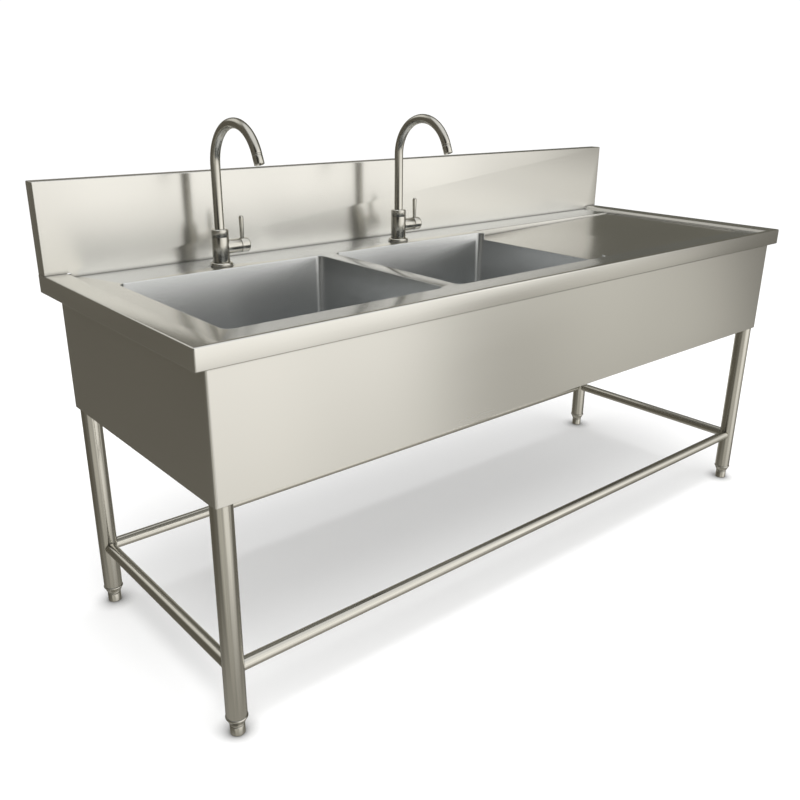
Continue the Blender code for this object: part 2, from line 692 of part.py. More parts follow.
def make_spout(side, x, looks):
    """Pivot, sleeve, riser and arch in one bent tube. It turns about the tap's upright axis."""
    shape = bmesh.new()
    start = BODY_TOP + GAP - PIVOT_LENGTH
    bmesh.ops.create_circle(
        shape, cap_ends=True, segments=FINE_ROUND, radius=PIVOT_RADIUS,
        matrix=Matrix.Translation((0, 0, start)),
    )
    cap = shape.faces[:][0]
    flat = (0, 0, 0)
    cap = extrude_cap(shape, cap, (0, 0, PIVOT_LENGTH))
    cap = extrude_cap(shape, cap, flat, BODY_RADIUS / PIVOT_RADIUS)
    cap = extrude_cap(shape, cap, (0, 0, SLEEVE_HEIGHT))
    cap = extrude_cap(shape, cap, flat, SPOUT_RADIUS / BODY_RADIUS)
    cap = extrude_cap(shape, cap, (0, 0, ARCH_CENTRE - BODY_TOP - GAP - SLEEVE_HEIGHT))
    made = bmesh.ops.spin(
        shape, geom=[cap, *cap.edges, *cap.verts], cent=(0, -ARCH_RADIUS, ARCH_CENTRE),
        axis=(1, 0, 0), dvec=flat, angle=math.radians(ARCH_SWEEP), steps=ARCH_STEPS,
        use_merge=False, use_duplicate=False,
    )["geom_last"]
    cap = [item for item in made if isinstance(item, bmesh.types.BMFace)][0]
    way = outlet_direction()
    cap = extrude_cap(shape, cap, flat, (SPOUT_RADIUS - AERATOR_WALL - GAP) / SPOUT_RADIUS)
    extrude_cap(shape, cap, way * (AERATOR_SOCKET - GAP))
    add_object(f"spout_{side}", shape, looks["tap"], (x, TAP_Y, 0))


def outlet_direction():
    sweep = math.radians(ARCH_SWEEP)
    return Vector((0, -math.sin(sweep), math.cos(sweep)))


def make_aerator(side, x, looks):
    sweep = math.radians(ARCH_SWEEP)
    end = Vector((
        x,
        TAP_Y - ARCH_RADIUS + ARCH_RADIUS * math.cos(sweep),
        ARCH_CENTRE + ARCH_RADIUS * math.sin(sweep),
    ))
    bore = SPOUT_RADIUS - AERATOR_WALL
    screen = AERATOR_SOCKET + GAP
    outline = [
        (0, screen), (bore, screen), (bore, GAP), (SPOUT_RADIUS, GAP),
        (SPOUT_RADIUS, AERATOR_LENGTH), (bore, AERATOR_LENGTH),
        (bore, screen + AERATOR_WALL), (0, screen + AERATOR_WALL),
    ]
    turn = outlet_direction().to_track_quat("Z", "X").to_euler()
    turned(f"aerator_{side}", outline, looks["tap"], end, FINE_ROUND, turn)


def make_handle(side, x, looks):
    """A hub that turns on the valve, with a pin lever that stands up from it."""
    sideways = (0, math.pi / 2, 0)
    axis = (x, TAP_Y, HOUSING_Z)
    end = HUB_START + HUB_LENGTH
    tip = HOUSING_LENGTH - VALVE_RECESS - SPINDLE_LENGTH
    outline = [
        (0, tip), (SPINDLE_RADIUS, tip), (SPINDLE_RADIUS, HUB_START), (HOUSING_RADIUS, HUB_START),
        *arc((HOUSING_RADIUS - HUB_ROUND, end - HUB_ROUND), HUB_ROUND, 0, 90, CORNER_STEPS),
        (0, end),
    ]
    hub = turned(f"handle_hub_{side}", outline, looks["tap"], axis, ROUND, sideways)
    seat = HOUSING_RADIUS - LEVER_SEAT
    lever_axis = (x + HUB_START + LEVER_PLACE, TAP_Y, HOUSING_Z)
    cut(hub, rod(
        f"lever_seat_{side}", LEVER_ROOT_RADIUS + GAP, seat, HOUSING_RADIUS + REACH,
        location=lever_axis, facets=FINE_ROUND,
    ))
    widest = LEVER_LENGTH - LEVER_TIP_RADIUS
    outline = [
        (0, seat + GAP), (LEVER_ROOT_RADIUS, seat + GAP), (LEVER_ROOT_RADIUS, HOUSING_RADIUS + GAP),
        *arc((0, widest), LEVER_TIP_RADIUS, 0, 90, CORNER_STEPS),
    ]
    turned(f"handle_lever_{side}", outline, looks["tap"], lever_axis, FINE_ROUND)


# ---- wastes ----------------------------------------------------------------------------
def make_waste(side, number, looks):
    place = (BOWL_MIDDLES[number], BOWL_MIDDLE_Y, 0)
    under = BOWL_FLOOR - SHEET
    flange_low = BOWL_FLOOR + GAP
    flange_top = flange_low + WASTE_FLANGE
    cup = WASTE_CUP_RADIUS
    cup_low = under - WASTE_CUP_DEPTH
    cone_low = cup_low - WASTE_CONE
    outlet_low = cone_low - OUTLET_LENGTH
    inner_cup = cup - WASTE_WALL
    inner_outlet = OUTLET_RADIUS - WASTE_WALL
    outline = [
        (WASTE_FLANGE_RADIUS, flange_top), (WASTE_FLANGE_RADIUS, flange_low), (cup, flange_low),
        (cup, cup_low), (OUTLET_RADIUS, cone_low), (OUTLET_RADIUS, outlet_low),
        (inner_outlet, outlet_low), (inner_outlet, cone_low + WASTE_WALL),
        (inner_cup, cup_low + WASTE_WALL), (inner_cup, flange_top),
        (WASTE_FLANGE_RADIUS, flange_top),
    ]
    turned(f"waste_body_{side}", outline, looks["waste"], place)
    gasket_low = under - GAP - WASTE_GASKET
    bore = cup + GAP
    ring(
        f"waste_gasket_{side}", bore, LOCKNUT_RADIUS, gasket_low, under - GAP,
        looks["rubber"], place,
    )
    nut_top = gasket_low - GAP
    nut(
        f"waste_locknut_{side}", bore, LOCKNUT_RADIUS, 12, nut_top - LOCKNUT_HEIGHT, nut_top,
        looks["plastic"], place,
    )
    lip_low = flange_top + GAP
    basket_low = lip_low - BASKET_DEPTH
    outline = [
        (0, basket_low), (BASKET_RADIUS, basket_low), (BASKET_RADIUS, lip_low),
        (BASKET_LIP_RADIUS, lip_low), (BASKET_LIP_RADIUS, lip_low + BASKET_WALL),
        (BASKET_RADIUS - BASKET_WALL, lip_low + BASKET_WALL),
        (BASKET_RADIUS - BASKET_WALL, basket_low + BASKET_WALL),
        (KNOB_RADIUS / 2, basket_low + BASKET_WALL), (KNOB_RADIUS / 2, basket_low + KNOB_HEIGHT / 2),
        (KNOB_RADIUS, basket_low + KNOB_HEIGHT / 2), (KNOB_RADIUS, basket_low + KNOB_HEIGHT),
        (0, basket_low + KNOB_HEIGHT),
    ]
    turned(f"basket_{side}", outline, looks["waste"], place)
    pipe_top = outlet_low + TAILPIECE_INSERT
    ring(
        f"tailpiece_{side}", TAILPIECE_RADIUS - WASTE_WALL, TAILPIECE_RADIUS,
        pipe_top - TAILPIECE_LENGTH, pipe_top, looks["waste"], place, FINE_ROUND,
    )
    nut_high = outlet_low - GAP
    nut(
        f"slip_nut_{side}", TAILPIECE_RADIUS + GAP, SLIP_NUT_RADIUS, 8, nut_high - SLIP_NUT_HEIGHT,
        nut_high, looks["plastic"], place, FINE_ROUND,
    )


def main():
    clear_scene()
    looks = make_finishes()
    make_worktop(looks["sheet"])
    make_splashback(looks["sheet"])
    make_bowl(0, "left_bowl", looks["sheet"])
    lower_bowl_wall(make_bowl(1, "right_bowl", looks["sheet"]))
    make_drainboard(looks["sheet"])
    make_drain_rib(looks["sheet"])
    make_aprons(looks["sheet"])
    make_stand(looks)
    for number, side in enumerate(("left", "right")):
        x = BOWL_MIDDLES[number] + TAP_OFFSETS[number]
        make_tap_body(side, x, looks)
        make_tap_fixing(side, x, looks)
        make_spout(side, x, looks)
        make_aerator(side, x, looks)
        make_handle(side, x, looks)
        make_waste(side, number, looks)


main()
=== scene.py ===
"""Looks of a stainless sink bench: fine pieces, brushed steel finishes and a plain studio."""

import json
import math

import bmesh
import bpy
from bpy.props import (
    FloatProperty,
    FloatVectorProperty,
    IntProperty,
    PointerProperty,
    StringProperty,
)
from mathutils import Matrix, Vector


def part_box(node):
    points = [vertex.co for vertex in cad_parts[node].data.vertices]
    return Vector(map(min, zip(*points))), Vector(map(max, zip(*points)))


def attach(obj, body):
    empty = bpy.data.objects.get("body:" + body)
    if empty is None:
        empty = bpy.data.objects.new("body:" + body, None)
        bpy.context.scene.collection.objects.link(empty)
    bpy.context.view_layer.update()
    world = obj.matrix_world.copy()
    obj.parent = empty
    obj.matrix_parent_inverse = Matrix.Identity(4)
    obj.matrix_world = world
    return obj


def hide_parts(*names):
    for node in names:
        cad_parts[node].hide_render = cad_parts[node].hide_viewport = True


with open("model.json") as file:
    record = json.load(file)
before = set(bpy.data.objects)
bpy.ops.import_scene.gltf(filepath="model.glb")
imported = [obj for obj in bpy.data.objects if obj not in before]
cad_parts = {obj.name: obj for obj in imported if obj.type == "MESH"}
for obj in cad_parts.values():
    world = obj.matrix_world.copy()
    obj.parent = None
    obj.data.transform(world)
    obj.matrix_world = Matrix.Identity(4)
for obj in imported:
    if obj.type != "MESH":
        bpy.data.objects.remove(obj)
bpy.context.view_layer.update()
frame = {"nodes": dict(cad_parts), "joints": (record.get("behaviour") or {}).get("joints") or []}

bl_info = {
    "name": "Sink Bench",
    "version": (1, 0, 0),
    "blender": (4, 5, 0),
    "location": "View3D > Sidebar > Sink Bench",
    "description": "Builds a stainless sink bench and the studio that it stands in",
    "category": "Add Mesh",
}

MM = 0.001
SIDES = ("left", "right")
CORNERS = ("front_left", "front_right", "rear_left", "rear_right")
HAIR = 0.0001           # closer than this, two heights or places count as one
FIT = 2 * HAIR          # clearance of a close fit, such as a leg in an apron
GAP = 3 * HAIR          # gap between two pieces that are screwed or fitted together
FACING = 0.75           # a face whose normal's part along an axis is larger faces that way
SMOOTH = 35             # faces that meet at less than this many degrees look like one surface
REACH = 0.02            # how far a cutter runs past the face that it opens


# ---- settings --------------------------------------------------------------------------
class SheetSettings(bpy.types.PropertyGroup):
    thickness: FloatProperty(
        name="Thickness", description="Thickness of the folded sheet",
        default=1.5 * MM, min=0.5 * MM, unit="LENGTH", precision=4,
    )
    edge_round: FloatProperty(
        name="Edge round", description="Radius of the bench top's outer fold",
        default=3.5 * MM, unit="LENGTH", precision=4,
    )
    fold_round: FloatProperty(
        name="Fold round", description="Radius of the folds beside the deck",
        default=2.6 * MM, unit="LENGTH", precision=4,
    )
    lip_round: FloatProperty(
        name="Lip round", description="Radius where the deck turns down into a bowl",
        default=1.4 * MM, unit="LENGTH", precision=4,
    )
    raise_height: FloatProperty(
        name="Raise", description="Height of the raised edge above the deck",
        default=9 * MM, unit="LENGTH", precision=4,
    )
    side_strip: FloatProperty(
        name="Side strip", description="Width of the raised edge at both ends",
        default=50 * MM, unit="LENGTH", precision=4,
    )
    front_strip: FloatProperty(
        name="Front strip", description="Width of the raised edge along the front",
        default=13 * MM, unit="LENGTH", precision=4,
    )
    slope: FloatProperty(
        name="Slope", description="Run of the slope from the raised edge to the deck",
        default=7 * MM, unit="LENGTH", precision=4,
    )
    lip_return: FloatProperty(
        name="Return", description="Lip turned in under the bench top's edge",
        default=12 * MM, unit="LENGTH", precision=4,
    )
    bowl_corner: FloatProperty(
        name="Bowl corner", description="Radius of a bowl's upright corners",
        default=17 * MM, unit="LENGTH", precision=4,
    )
    bowl_foot: FloatProperty(
        name="Bowl foot", description="Radius where a bowl's walls meet its floor",
        default=14 * MM, unit="LENGTH", precision=4,
    )
    fall_shallow: FloatProperty(
        name="Shallow end", description="Drainboard below the deck at its far end",
        default=4 * MM, unit="LENGTH", precision=4,
    )
    fall_deep: FloatProperty(
        name="Deep end", description="Drainboard below the deck at the bowl",
        default=18 * MM, unit="LENGTH", precision=4,
    )
    apron_corner: FloatProperty(
        name="Apron corner", description="Radius of the apron's bent front corners",
        default=6 * MM, unit="LENGTH", precision=4,
    )
    apron_hem: FloatProperty(
        name="Hem", description="Lip turned in along the apron's lower edge",
        default=14 * MM, unit="LENGTH", precision=4,
    )
    splash_return: FloatProperty(
        name="Splash return", description="Lip turned down behind the splashback",
        default=22 * MM, unit="LENGTH", precision=4,
    )


class StandSettings(bpy.types.PropertyGroup):
    leg_wall: FloatProperty(
        name="Leg wall", description="Wall of the leg tubes",
        default=1.5 * MM, unit="LENGTH", precision=4,
    )
    rail_wall: FloatProperty(
        name="Rail wall", description="Wall of the rail tubes",
        default=1.2 * MM, unit="LENGTH", precision=4,
    )
    facets: IntProperty(
        name="Facets", description="Facets round a leg", default=72, min=12,
    )


class FinishSettings(bpy.types.PropertyGroup):
    sheet: StringProperty(
        name="Sheet", description="Brushed sheet's colour, as an sRGB hex value", default="DEDDD8",
    )
    bowl: StringProperty(
        name="Bowl", description="Bowls' colour, as an sRGB hex value", default="DBDDDE",
    )
    tube: StringProperty(
        name="Tube", description="Tube's colour, as an sRGB hex value", default="D4D2CA",
    )
    tap: StringProperty(
        name="Tap", description="Taps' colour, as an sRGB hex value", default="D0CEC6",
    )
    foot: StringProperty(
        name="Foot", description="Feet's colour, as an sRGB hex value", default="D0CEC6",
    )
    brass: StringProperty(
        name="Brass", description="Tap nuts' and valves' colour, as an sRGB hex value",
        default="C2A05E",
    )
    silicone: StringProperty(
        name="Silicone", description="Tap gaskets' colour, as an sRGB hex value", default="A8A59C",
    )
    rubber: StringProperty(
        name="Rubber", description="Waste gaskets' colour, as an sRGB hex value", default="1B1B1B",
    )
    plastic: StringProperty(
        name="Plastic", description="Waste nuts' colour, as an sRGB hex value", default="DAD9D3",
    )


class StageSettings(bpy.types.PropertyGroup):
    lens: FloatProperty(
        name="Lens", description="Focal length in mm", default=37.55, min=10,
    )
    camera_place: FloatVectorProperty(
        name="Camera", description="Camera's place, in metres",
        default=(-1.5184, -1.5082, 1.1911), subtype="TRANSLATION", precision=4,
    )
    camera_yaw: FloatProperty(
        name="Yaw", description="Camera's turn from the +Y direction",
        default=math.radians(-40.75), subtype="ANGLE",
    )
    camera_pitch: FloatProperty(
        name="Pitch", description="Camera's tilt below the horizon",
        default=math.radians(20.62), subtype="ANGLE",
    )
    camera_roll: FloatProperty(
        name="Roll", description="Camera's turn about its own axis",
        default=math.radians(0.52), subtype="ANGLE",
    )
    key_power: FloatProperty(
        name="Key", description="Power of the overhead softbox in watts", default=60.0, min=0,
    )


# ---- shapes ----------------------------------------------------------------------------
def box_shape(low, high):
    low, high = Vector(low), Vector(high)
    shape = bmesh.new()
    bmesh.ops.create_cube(shape, size=1.0)
    bmesh.ops.scale(shape, vec=high - low, verts=shape.verts)
    bmesh.ops.translate(shape, vec=(low + high) / 2, verts=shape.verts)
    return shape


def soften(shape, edges, radius, steps=3):
    """Rounds edges over with a bevel."""
    if edges:
        bmesh.ops.bevel(
            shape, geom=edges, offset=radius, offset_type="OFFSET", segments=steps,
            profile=0.5, affect="EDGES", material=-1, clamp_overlap=False,
        )


def edges_where(shape, test):
    """Edges whose two ends both pass a test of their place."""
    return [edge for edge in shape.edges if all(test(vert.co) for vert in edge.verts)]


def upright(shape, test=lambda place: True):
    return [
        edge for edge in edges_where(shape, test)
        if abs((edge.verts[0].co - edge.verts[1].co).normalized().z) > 0.99
    ]


def tub_shape(low, high, corner, foot, steps=8):
    """A box with round upright corners and a round lower edge."""
    shape = box_shape(low, high)
    soften(shape, upright(shape), corner, steps)
    soften(shape, edges_where(shape, lambda place: place.z < low[2] + HAIR), foot, steps - 2)
    return shape


def turned_shape(outline, facets=64, edge_round=0.0, at=(0, 0, 0)):
    """Spins an outline of (radius, height) points round Z, and rounds its sharp rings."""
    shape = bmesh.new()
    points = [shape.verts.new((radius, 0, height)) for radius, height in outline]
    edges = [shape.edges.new(pair) for pair in zip(points, points[1:])]
    bmesh.ops.spin(
        shape, geom=points + edges, cent=(0, 0, 0), axis=(0, 0, 1), dvec=(0, 0, 0),
        angle=2 * math.pi, steps=facets, use_merge=True, use_duplicate=False,
    )
    bmesh.ops.remove_doubles(shape, verts=shape.verts, dist=1e-6)
    bmesh.ops.recalc_face_normals(shape, faces=shape.faces)
    if edge_round:
        soften(shape, sharp_edges(shape, 40), edge_round, 2)
    bmesh.ops.translate(shape, vec=at, verts=shape.verts)
    return shape


def sharp_edges(shape, degrees):
    limit = math.radians(degrees)
    return [
        edge for edge in shape.edges
        if len(edge.link_faces) == 2 and edge.calc_face_angle() > limit
    ]


def middle_of(node):
    low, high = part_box(node)
    return (low + high) / 2


def arc(centre, radius, start, end, steps):
    turns = [math.radians(start + (end - start) * step / steps) for step in range(steps + 1)]
    return [(centre[0] + radius * math.cos(a), centre[1] + radius * math.sin(a)) for a in turns]


def tube_outline(inner, outer, low, high):
    return [(inner, low), (outer, low), (outer, high), (inner, high), (inner, low)]


def rod_shape(radius, low, high, at, facets=48):
    return turned_shape([(0, low), (radius, low), (radius, high), (0, high)], facets, 0, at)


def turn_shape(shape, matrix):
    bmesh.ops.transform(shape, matrix=matrix, verts=shape.verts)
    return shape


def helper_object(shape):
    mesh = bpy.data.meshes.new("helper")
    bmesh.ops.recalc_face_normals(shape, faces=shape.faces)
    shape.to_mesh(mesh)
    shape.free()
    helper = bpy.data.objects.new("helper", mesh)
    bpy.context.scene.collection.objects.link(helper)
    return helper


def combine(shape, tool, operation):
    """Cuts or joins two closed shapes, and returns the new shape."""
    base, other = helper_object(shape), helper_object(tool)
    step = base.modifiers.new("step", "BOOLEAN")
    step.operation = operation
    step.solver = "EXACT"
    step.object = other
    result = bmesh.new()
    result.from_object(base, bpy.context.evaluated_depsgraph_get())
    for helper in (base, other):
        mesh = helper.data
        bpy.data.objects.remove(helper)
        bpy.data.meshes.remove(mesh)
    return result


def cut(shape, *tools):
    for tool in tools:
        shape = combine(shape, tool, "DIFFERENCE")
    return shape


def join(shape, *tools):
    for tool in tools:
        shape = combine(shape, tool, "UNION")
    return shape


def clean(shape):
    """Merges doubled points and flat neighbouring faces after cuts and joins."""
    bmesh.ops.remove_doubles(shape, verts=shape.verts, dist=2e-5)
    bmesh.ops.dissolve_degenerate(shape, edges=shape.edges, dist=1e-6)
    bmesh.ops.dissolve_limit(
        shape, angle_limit=math.radians(0.5), verts=shape.verts, edges=shape.edges,
        use_dissolve_boundaries=False, delimit=set(),
    )
    return shape


def place(shape, name, material, slot, body, *nodes):
    """Makes a shape into a finished piece that rides on a body and stands for CAD nodes."""
    mesh = bpy.data.meshes.new(name)
    shape.to_mesh(mesh)
    shape.free()
    mesh.shade_smooth()
    mesh.set_sharp_from_angle(angle=math.radians(SMOOTH))
    mesh.materials.append(material)
    piece = bpy.data.objects.new(name, mesh)
    bpy.context.scene.collection.objects.link(piece)
    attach(piece, body)
    if nodes:
        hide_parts(*nodes)
    return piece


def turn_grain(piece, bowls=()):
    """Gives end, level and bowl faces of folded sheet the finish that is ground their way."""
    end, level, sunk = 1, 2, 3
    for key in ("end_sheet", "deck", "bowl"):
        piece.data.materials.append(finish(key))
    for face in piece.data.polygons:
        spot = face.center
        if any(
            low.x < spot.x < high.x and low.y < spot.y < high.y and spot.z < high.z
            for low, high in bowls
        ):
            face.material_index = sunk
        elif abs(face.normal.x) > FACING:
            face.material_index = end
        elif face.normal.z > FACING:
            face.material_index = level


# ---- finishes --------------------------------------------------------------------------
def linear(code):
    """Turns an sRGB hex value to linear colour."""
    parts = [int(code[at:at + 2], 16) / 255 for at in (0, 2, 4)]
    return tuple(
        part / 12.92 if part <= 0.04045 else ((part + 0.055) / 1.055) ** 2.4 for part in parts
    ) + (1.0,)


def add_node(tree, kind, settings=None, links=None):
    """Adds a node, with its inputs set by name or number and its attributes by name."""
    node = tree.nodes.new(kind)
    for name, value in (settings or {}).items():
        if isinstance(name, int) or name in node.inputs:
            node.inputs[name].default_value = value
        else:
            setattr(node, name, value)
    for name, source in (links or {}).items():
        tree.links.new(source, node.inputs[name])
    return node


def painted_crease_shade(tree, reach, darkest):
    """Painted shade in seams, creases and under things: the share of the colour that is left where
    other surfaces lie close.
    """
    crease = add_node(
        tree, "ShaderNodeAmbientOcclusion", {"samples": 8, "Distance": reach},
    ).outputs["AO"]
    return add_node(
        tree, "ShaderNodeMapRange",
        {"From Min": 0.5, "From Max": 0.95, "To Min": darkest, "To Max": 1.0}, {"Value": crease},
    ).outputs["Result"]


def noise(tree, where, scales, detail, roughness):
    """Noise on object coordinates, with a scale of its own along each axis."""
    mapping = add_node(tree, "ShaderNodeMapping", {"Scale": scales}, {"Vector": where})
    return add_node(
        tree, "ShaderNodeTexNoise", {"Scale": 1.0, "Detail": detail, "Roughness": roughness},
        {"Vector": mapping.outputs["Vector"]},
    ).outputs["Fac"]


def noise_range(tree, value, low, high):
    """Spreads the middle of a noise, where nearly all of it lies, from low to high."""
    return add_node(
        tree, "ShaderNodeMapRange",
        {"From Min": 0.3, "From Max": 0.7, "To Min": low, "To Max": high}, {"Value": value},
    ).outputs["Result"]


def brushed_steel(
    name, colour, roughness, grain_mm, grain_axis, depth_mm=0.0, tone=0.06, anisotropic=0.0,
    crease_shade_mm=9.0, crease_shade_darkest=0.42,
):
    """Stainless steel with fine scratches along one axis.

    The scratches are about 0.1 mm wide on the real sheet. They are drawn wider here, so that
    they show, and they give the eye soft streaks and a highlight that spreads across them.
    """
    scratch_length = 60     # in widths of a scratch
    clouds_across, clouds_along = 8.0, 1.2      # polishing patches, in patches per metre
    worn, dull = 0.96, 1.05                     # roughness there, as a share of the whole
    material = bpy.data.materials.new(name)
    material.use_nodes = True
    tree = material.node_tree
    shader = tree.nodes["Principled BSDF"]
    shader.inputs["Metallic"].default_value = 1.0
    shader.inputs["Anisotropic"].default_value = anisotropic
    where = add_node(tree, "ShaderNodeTexCoord").outputs["Object"]
    if anisotropic:
        grain_way = [float(axis == grain_axis) for axis in range(3)]
        faces = add_node(tree, "ShaderNodeNewGeometry").outputs["Normal"]
        spread = add_node(
            tree, "ShaderNodeVectorMath", {"operation": "CROSS_PRODUCT", 1: grain_way}, {0: faces},
        ).outputs["Vector"]
        tree.links.new(spread, shader.inputs["Tangent"])
    across = 1.0 / (grain_mm * MM)
    scratches = [across] * 3
    scratches[grain_axis] = across / scratch_length
    grain = noise(tree, where, scratches, 3.0, 0.6)
    patches = [clouds_across] * 3
    patches[grain_axis] = clouds_along
    clouds = noise(tree, where, patches, 4.0, 0.55)
    wear = noise_range(tree, clouds, roughness * worn, roughness * dull)
    streak = noise_range(tree, grain, -tone * roughness, tone * roughness)
    total = add_node(tree, "ShaderNodeMath", {"operation": "ADD"}, {0: wear, 1: streak})
    tree.links.new(total.outputs["Value"], shader.inputs["Roughness"])
    base = linear(colour)
    dark = tuple(part * (1 - tone * 2) for part in base[:3]) + (1.0,)
    mixed = add_node(
        tree, "ShaderNodeMix", {"data_type": "RGBA", 6: dark, 7: base}, {0: grain},
    ).outputs[2]
    # Painted shade: the colour darkens in seams and creases, where other surfaces lie close.
    shaded = add_node(
        tree, "ShaderNodeVectorMath", {"operation": "SCALE"},
        {0: mixed, "Scale": painted_crease_shade(tree, crease_shade_mm * MM, crease_shade_darkest)},
    ).outputs["Vector"]
    tree.links.new(shaded, shader.inputs["Base Color"])
    if depth_mm:
        bump = add_node(
            tree, "ShaderNodeBump", {"Strength": 1.0, "Distance": depth_mm * MM}, {"Height": grain},
        )
        tree.links.new(bump.outputs["Normal"], shader.inputs["Normal"])
    return material


def plain_finish(name, colour, roughness, metallic, grit_mm=1.0, depth_mm=0.0):
    """An even finish with a fine grit, such as moulded rubber or plastic.

    The grit is about 0.1 mm wide on the real pieces. It is drawn wider here, so that it shows.
    """
    material = bpy.data.materials.new(name)
    material.use_nodes = True
    tree = material.node_tree
    shader = tree.nodes["Principled BSDF"]
    shader.inputs["Metallic"].default_value = metallic
    shader.inputs["Roughness"].default_value = roughness
    shader.inputs["Base Color"].default_value = linear(colour)
    if depth_mm:
        where = add_node(tree, "ShaderNodeTexCoord").outputs["Object"]
        grit = add_node(
            tree, "ShaderNodeTexNoise", {"Scale": 1 / (grit_mm * MM), "Detail": 2.0},
            {"Vector": where},
        ).outputs["Fac"]
        bump = add_node(
            tree, "ShaderNodeBump", {"Strength": 0.6, "Distance": depth_mm * MM},
            {"Height": grit},
        )
        tree.links.new(bump.outputs["Normal"], shader.inputs["Normal"])
    return material


def finish(key):
    """Returns a finish by its key, and makes it the first time."""
    name, make, colour, values = FINISHES[key]
    made = bpy.data.materials.get(name)
    return made or make(name, getattr(bpy.context.scene.bench_finishes, colour), **values)


SHEET = {"roughness": 0.26, "grain_mm": 4.0, "tone": 0.008, "anisotropic": 0.8}
# Where a finish gives them, the crease values set its painted shade in seams and creases: how far
# it reaches, and how dark it gets.
TUBE = {
    "roughness": 0.17, "grain_mm": 1.2, "depth_mm": 0.002, "tone": 0.05, "crease_shade_mm": 4.0,
    "crease_shade_darkest": 0.55,
}
FINISHES = {    # name, maker, colour's setting, values
    # Sheet belt-ground along its length: it mirrors softly, and lights smear across the grain.
    # Its scratches are drawn 4 mm wide, faint and without relief.
    "sheet": ("brushed_stainless_sheet", brushed_steel, "sheet", {**SHEET, "grain_axis": 0}),
    # The same sheet folded round an end, so the grain runs from front to back.
    "end_sheet": ("brushed_stainless_end_sheet", brushed_steel, "sheet", {
        **SHEET, "grain_axis": 1,
    }),
    # Level sheet, rubbed smooth by use: the smear is shorter, so reflections keep their outline.
    "deck": ("brushed_stainless_deck", brushed_steel, "sheet", {
        "roughness": 0.24, "grain_mm": 4.0, "grain_axis": 0, "tone": 0.01, "anisotropic": 0.4,
    }),
    # Pressed and ground bowl: a cooler, duller grey than the deck.
    "bowl": ("brushed_stainless_bowl", brushed_steel, "bowl", {
        "roughness": 0.24, "grain_mm": 4.0, "grain_axis": 0, "tone": 0.01, "anisotropic": 0.7,
    }),
    # Tube drawn and polished along its length: bright, with narrow streaks of light.
    "tube": ("polished_stainless_tube", brushed_steel, "tube", {**TUBE, "grain_axis": 2}),
    "rail": ("polished_stainless_rail", brushed_steel, "tube", {**TUBE, "grain_axis": 0}),
    "cross_rail": ("polished_stainless_cross_rail", brushed_steel, "tube", {
        **TUBE, "grain_axis": 1,
    }),
    # Turned and satin-polished: as bright as the tube, with finer scratches.
    "tap": ("satin_turned_stainless", brushed_steel, "tap", {
        "roughness": 0.17, "grain_mm": 0.9, "grain_axis": 2, "depth_mm": 0.001, "tone": 0.04,
        "crease_shade_mm": 2.0, "crease_shade_darkest": 0.5,
    }),
    # Turned on a lathe and left: small tool marks break up the highlight.
    "foot": ("turned_stainless", brushed_steel, "foot", {
        "roughness": 0.20, "grain_mm": 0.9, "grain_axis": 0, "depth_mm": 0.003, "tone": 0.05,
        "crease_shade_mm": 3.0, "crease_shade_darkest": 0.5,
    }),
    # Pressed and polished: the sharpest mirror on the bench.
    "waste": ("pressed_polished_stainless", brushed_steel, "sheet", {
        "roughness": 0.16, "grain_mm": 1.2, "grain_axis": 0, "depth_mm": 0.004,
    }),
    # As it came from the mill: dull and grainy.
    "socket": ("mill_finish_stainless", brushed_steel, "foot", {
        "roughness": 0.38, "grain_mm": 2.0, "grain_axis": 0, "depth_mm": 0.02,
    }),
    # Machined from bar: warm yellow with a soft gloss.
    "nut": ("machined_brass", plain_finish, "brass", {
        "roughness": 0.32, "metallic": 1.0, "grit_mm": 0.8, "depth_mm": 0.01,
    }),
    # Moulded soft: an even grey without gloss.
    "silicone": ("moulded_grey_silicone", plain_finish, "silicone", {
        "roughness": 0.6, "metallic": 0.0, "grit_mm": 0.7, "depth_mm": 0.02,
    }),
    # Moulded and black: hardly any gloss.
    "rubber": ("moulded_nitrile_rubber", plain_finish, "rubber", {
        "roughness": 0.75, "metallic": 0.0, "grit_mm": 0.7, "depth_mm": 0.03,
    }),
    # Moulded: white with a low, broad gloss.
    "plastic": ("moulded_white_polypropylene", plain_finish, "plastic", {
        "roughness": 0.45, "metallic": 0.0, "grit_mm": 1.2, "depth_mm": 0.02,
    }),
}


# ---- bench top -------------------------------------------------------------------------
LOWER_FOLD = 0.6        # radius of the apron's lower fold, as a share of the sheet
TAP_HOLE = 16.5 * MM    # radius of the hole for a tap
WASTE_HOLE = 42.3 * MM  # radius of the hole for a waste


def deck_height(sheet):
    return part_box("worktop")[1].z - sheet.raise_height


def raised_block(sheet):
    """The bench top as a solid block, with its raised edge and rounded folds."""
    low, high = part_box("worktop")
    deck = deck_height(sheet)
    block = box_shape(low, high)
    front = upright(block, lambda place: place.y < 0)
    soften(block, front, sheet.edge_round, 4)
    top = [
        edge for edge in edges_where(block, lambda place: place.z > high.z - HAIR)
        if not all(vert.co.y > high.y - HAIR for vert in edge.verts)
    ]
    soften(block, top, sheet.edge_round, 4)
    bottom = [
        edge for edge in edges_where(block, lambda place: place.z < low.z + HAIR)
        if not all(vert.co.y > high.y - HAIR for vert in edge.verts)
    ]
    soften(block, bottom, sheet.fold_round, 3)
    side, front = sheet.side_strip + sheet.slope, sheet.front_strip + sheet.slope
    recess = box_shape(
        (low.x + side, low.y + front, deck), (high.x - side, high.y + REACH, high.z + REACH),
    )
    spread = sheet.slope * (sheet.raise_height + REACH) / sheet.raise_height
    for vert in recess.verts:
        if vert.co.z > deck + HAIR:
            vert.co.x += math.copysign(spread, vert.co.x)
            if vert.co.y < 0:
                vert.co.y -= spread
    block = clean(cut(block, recess))
    folds = [
        edge for edge in sharp_edges(block, 25)
        if all(
            face.normal.z > 0.3 and face.normal.y < 0.9 for face in edge.link_faces
        ) and all(deck - HAIR < vert.co.z for vert in edge.verts)
    ]
    soften(block, folds, sheet.fold_round, 3)
    return block


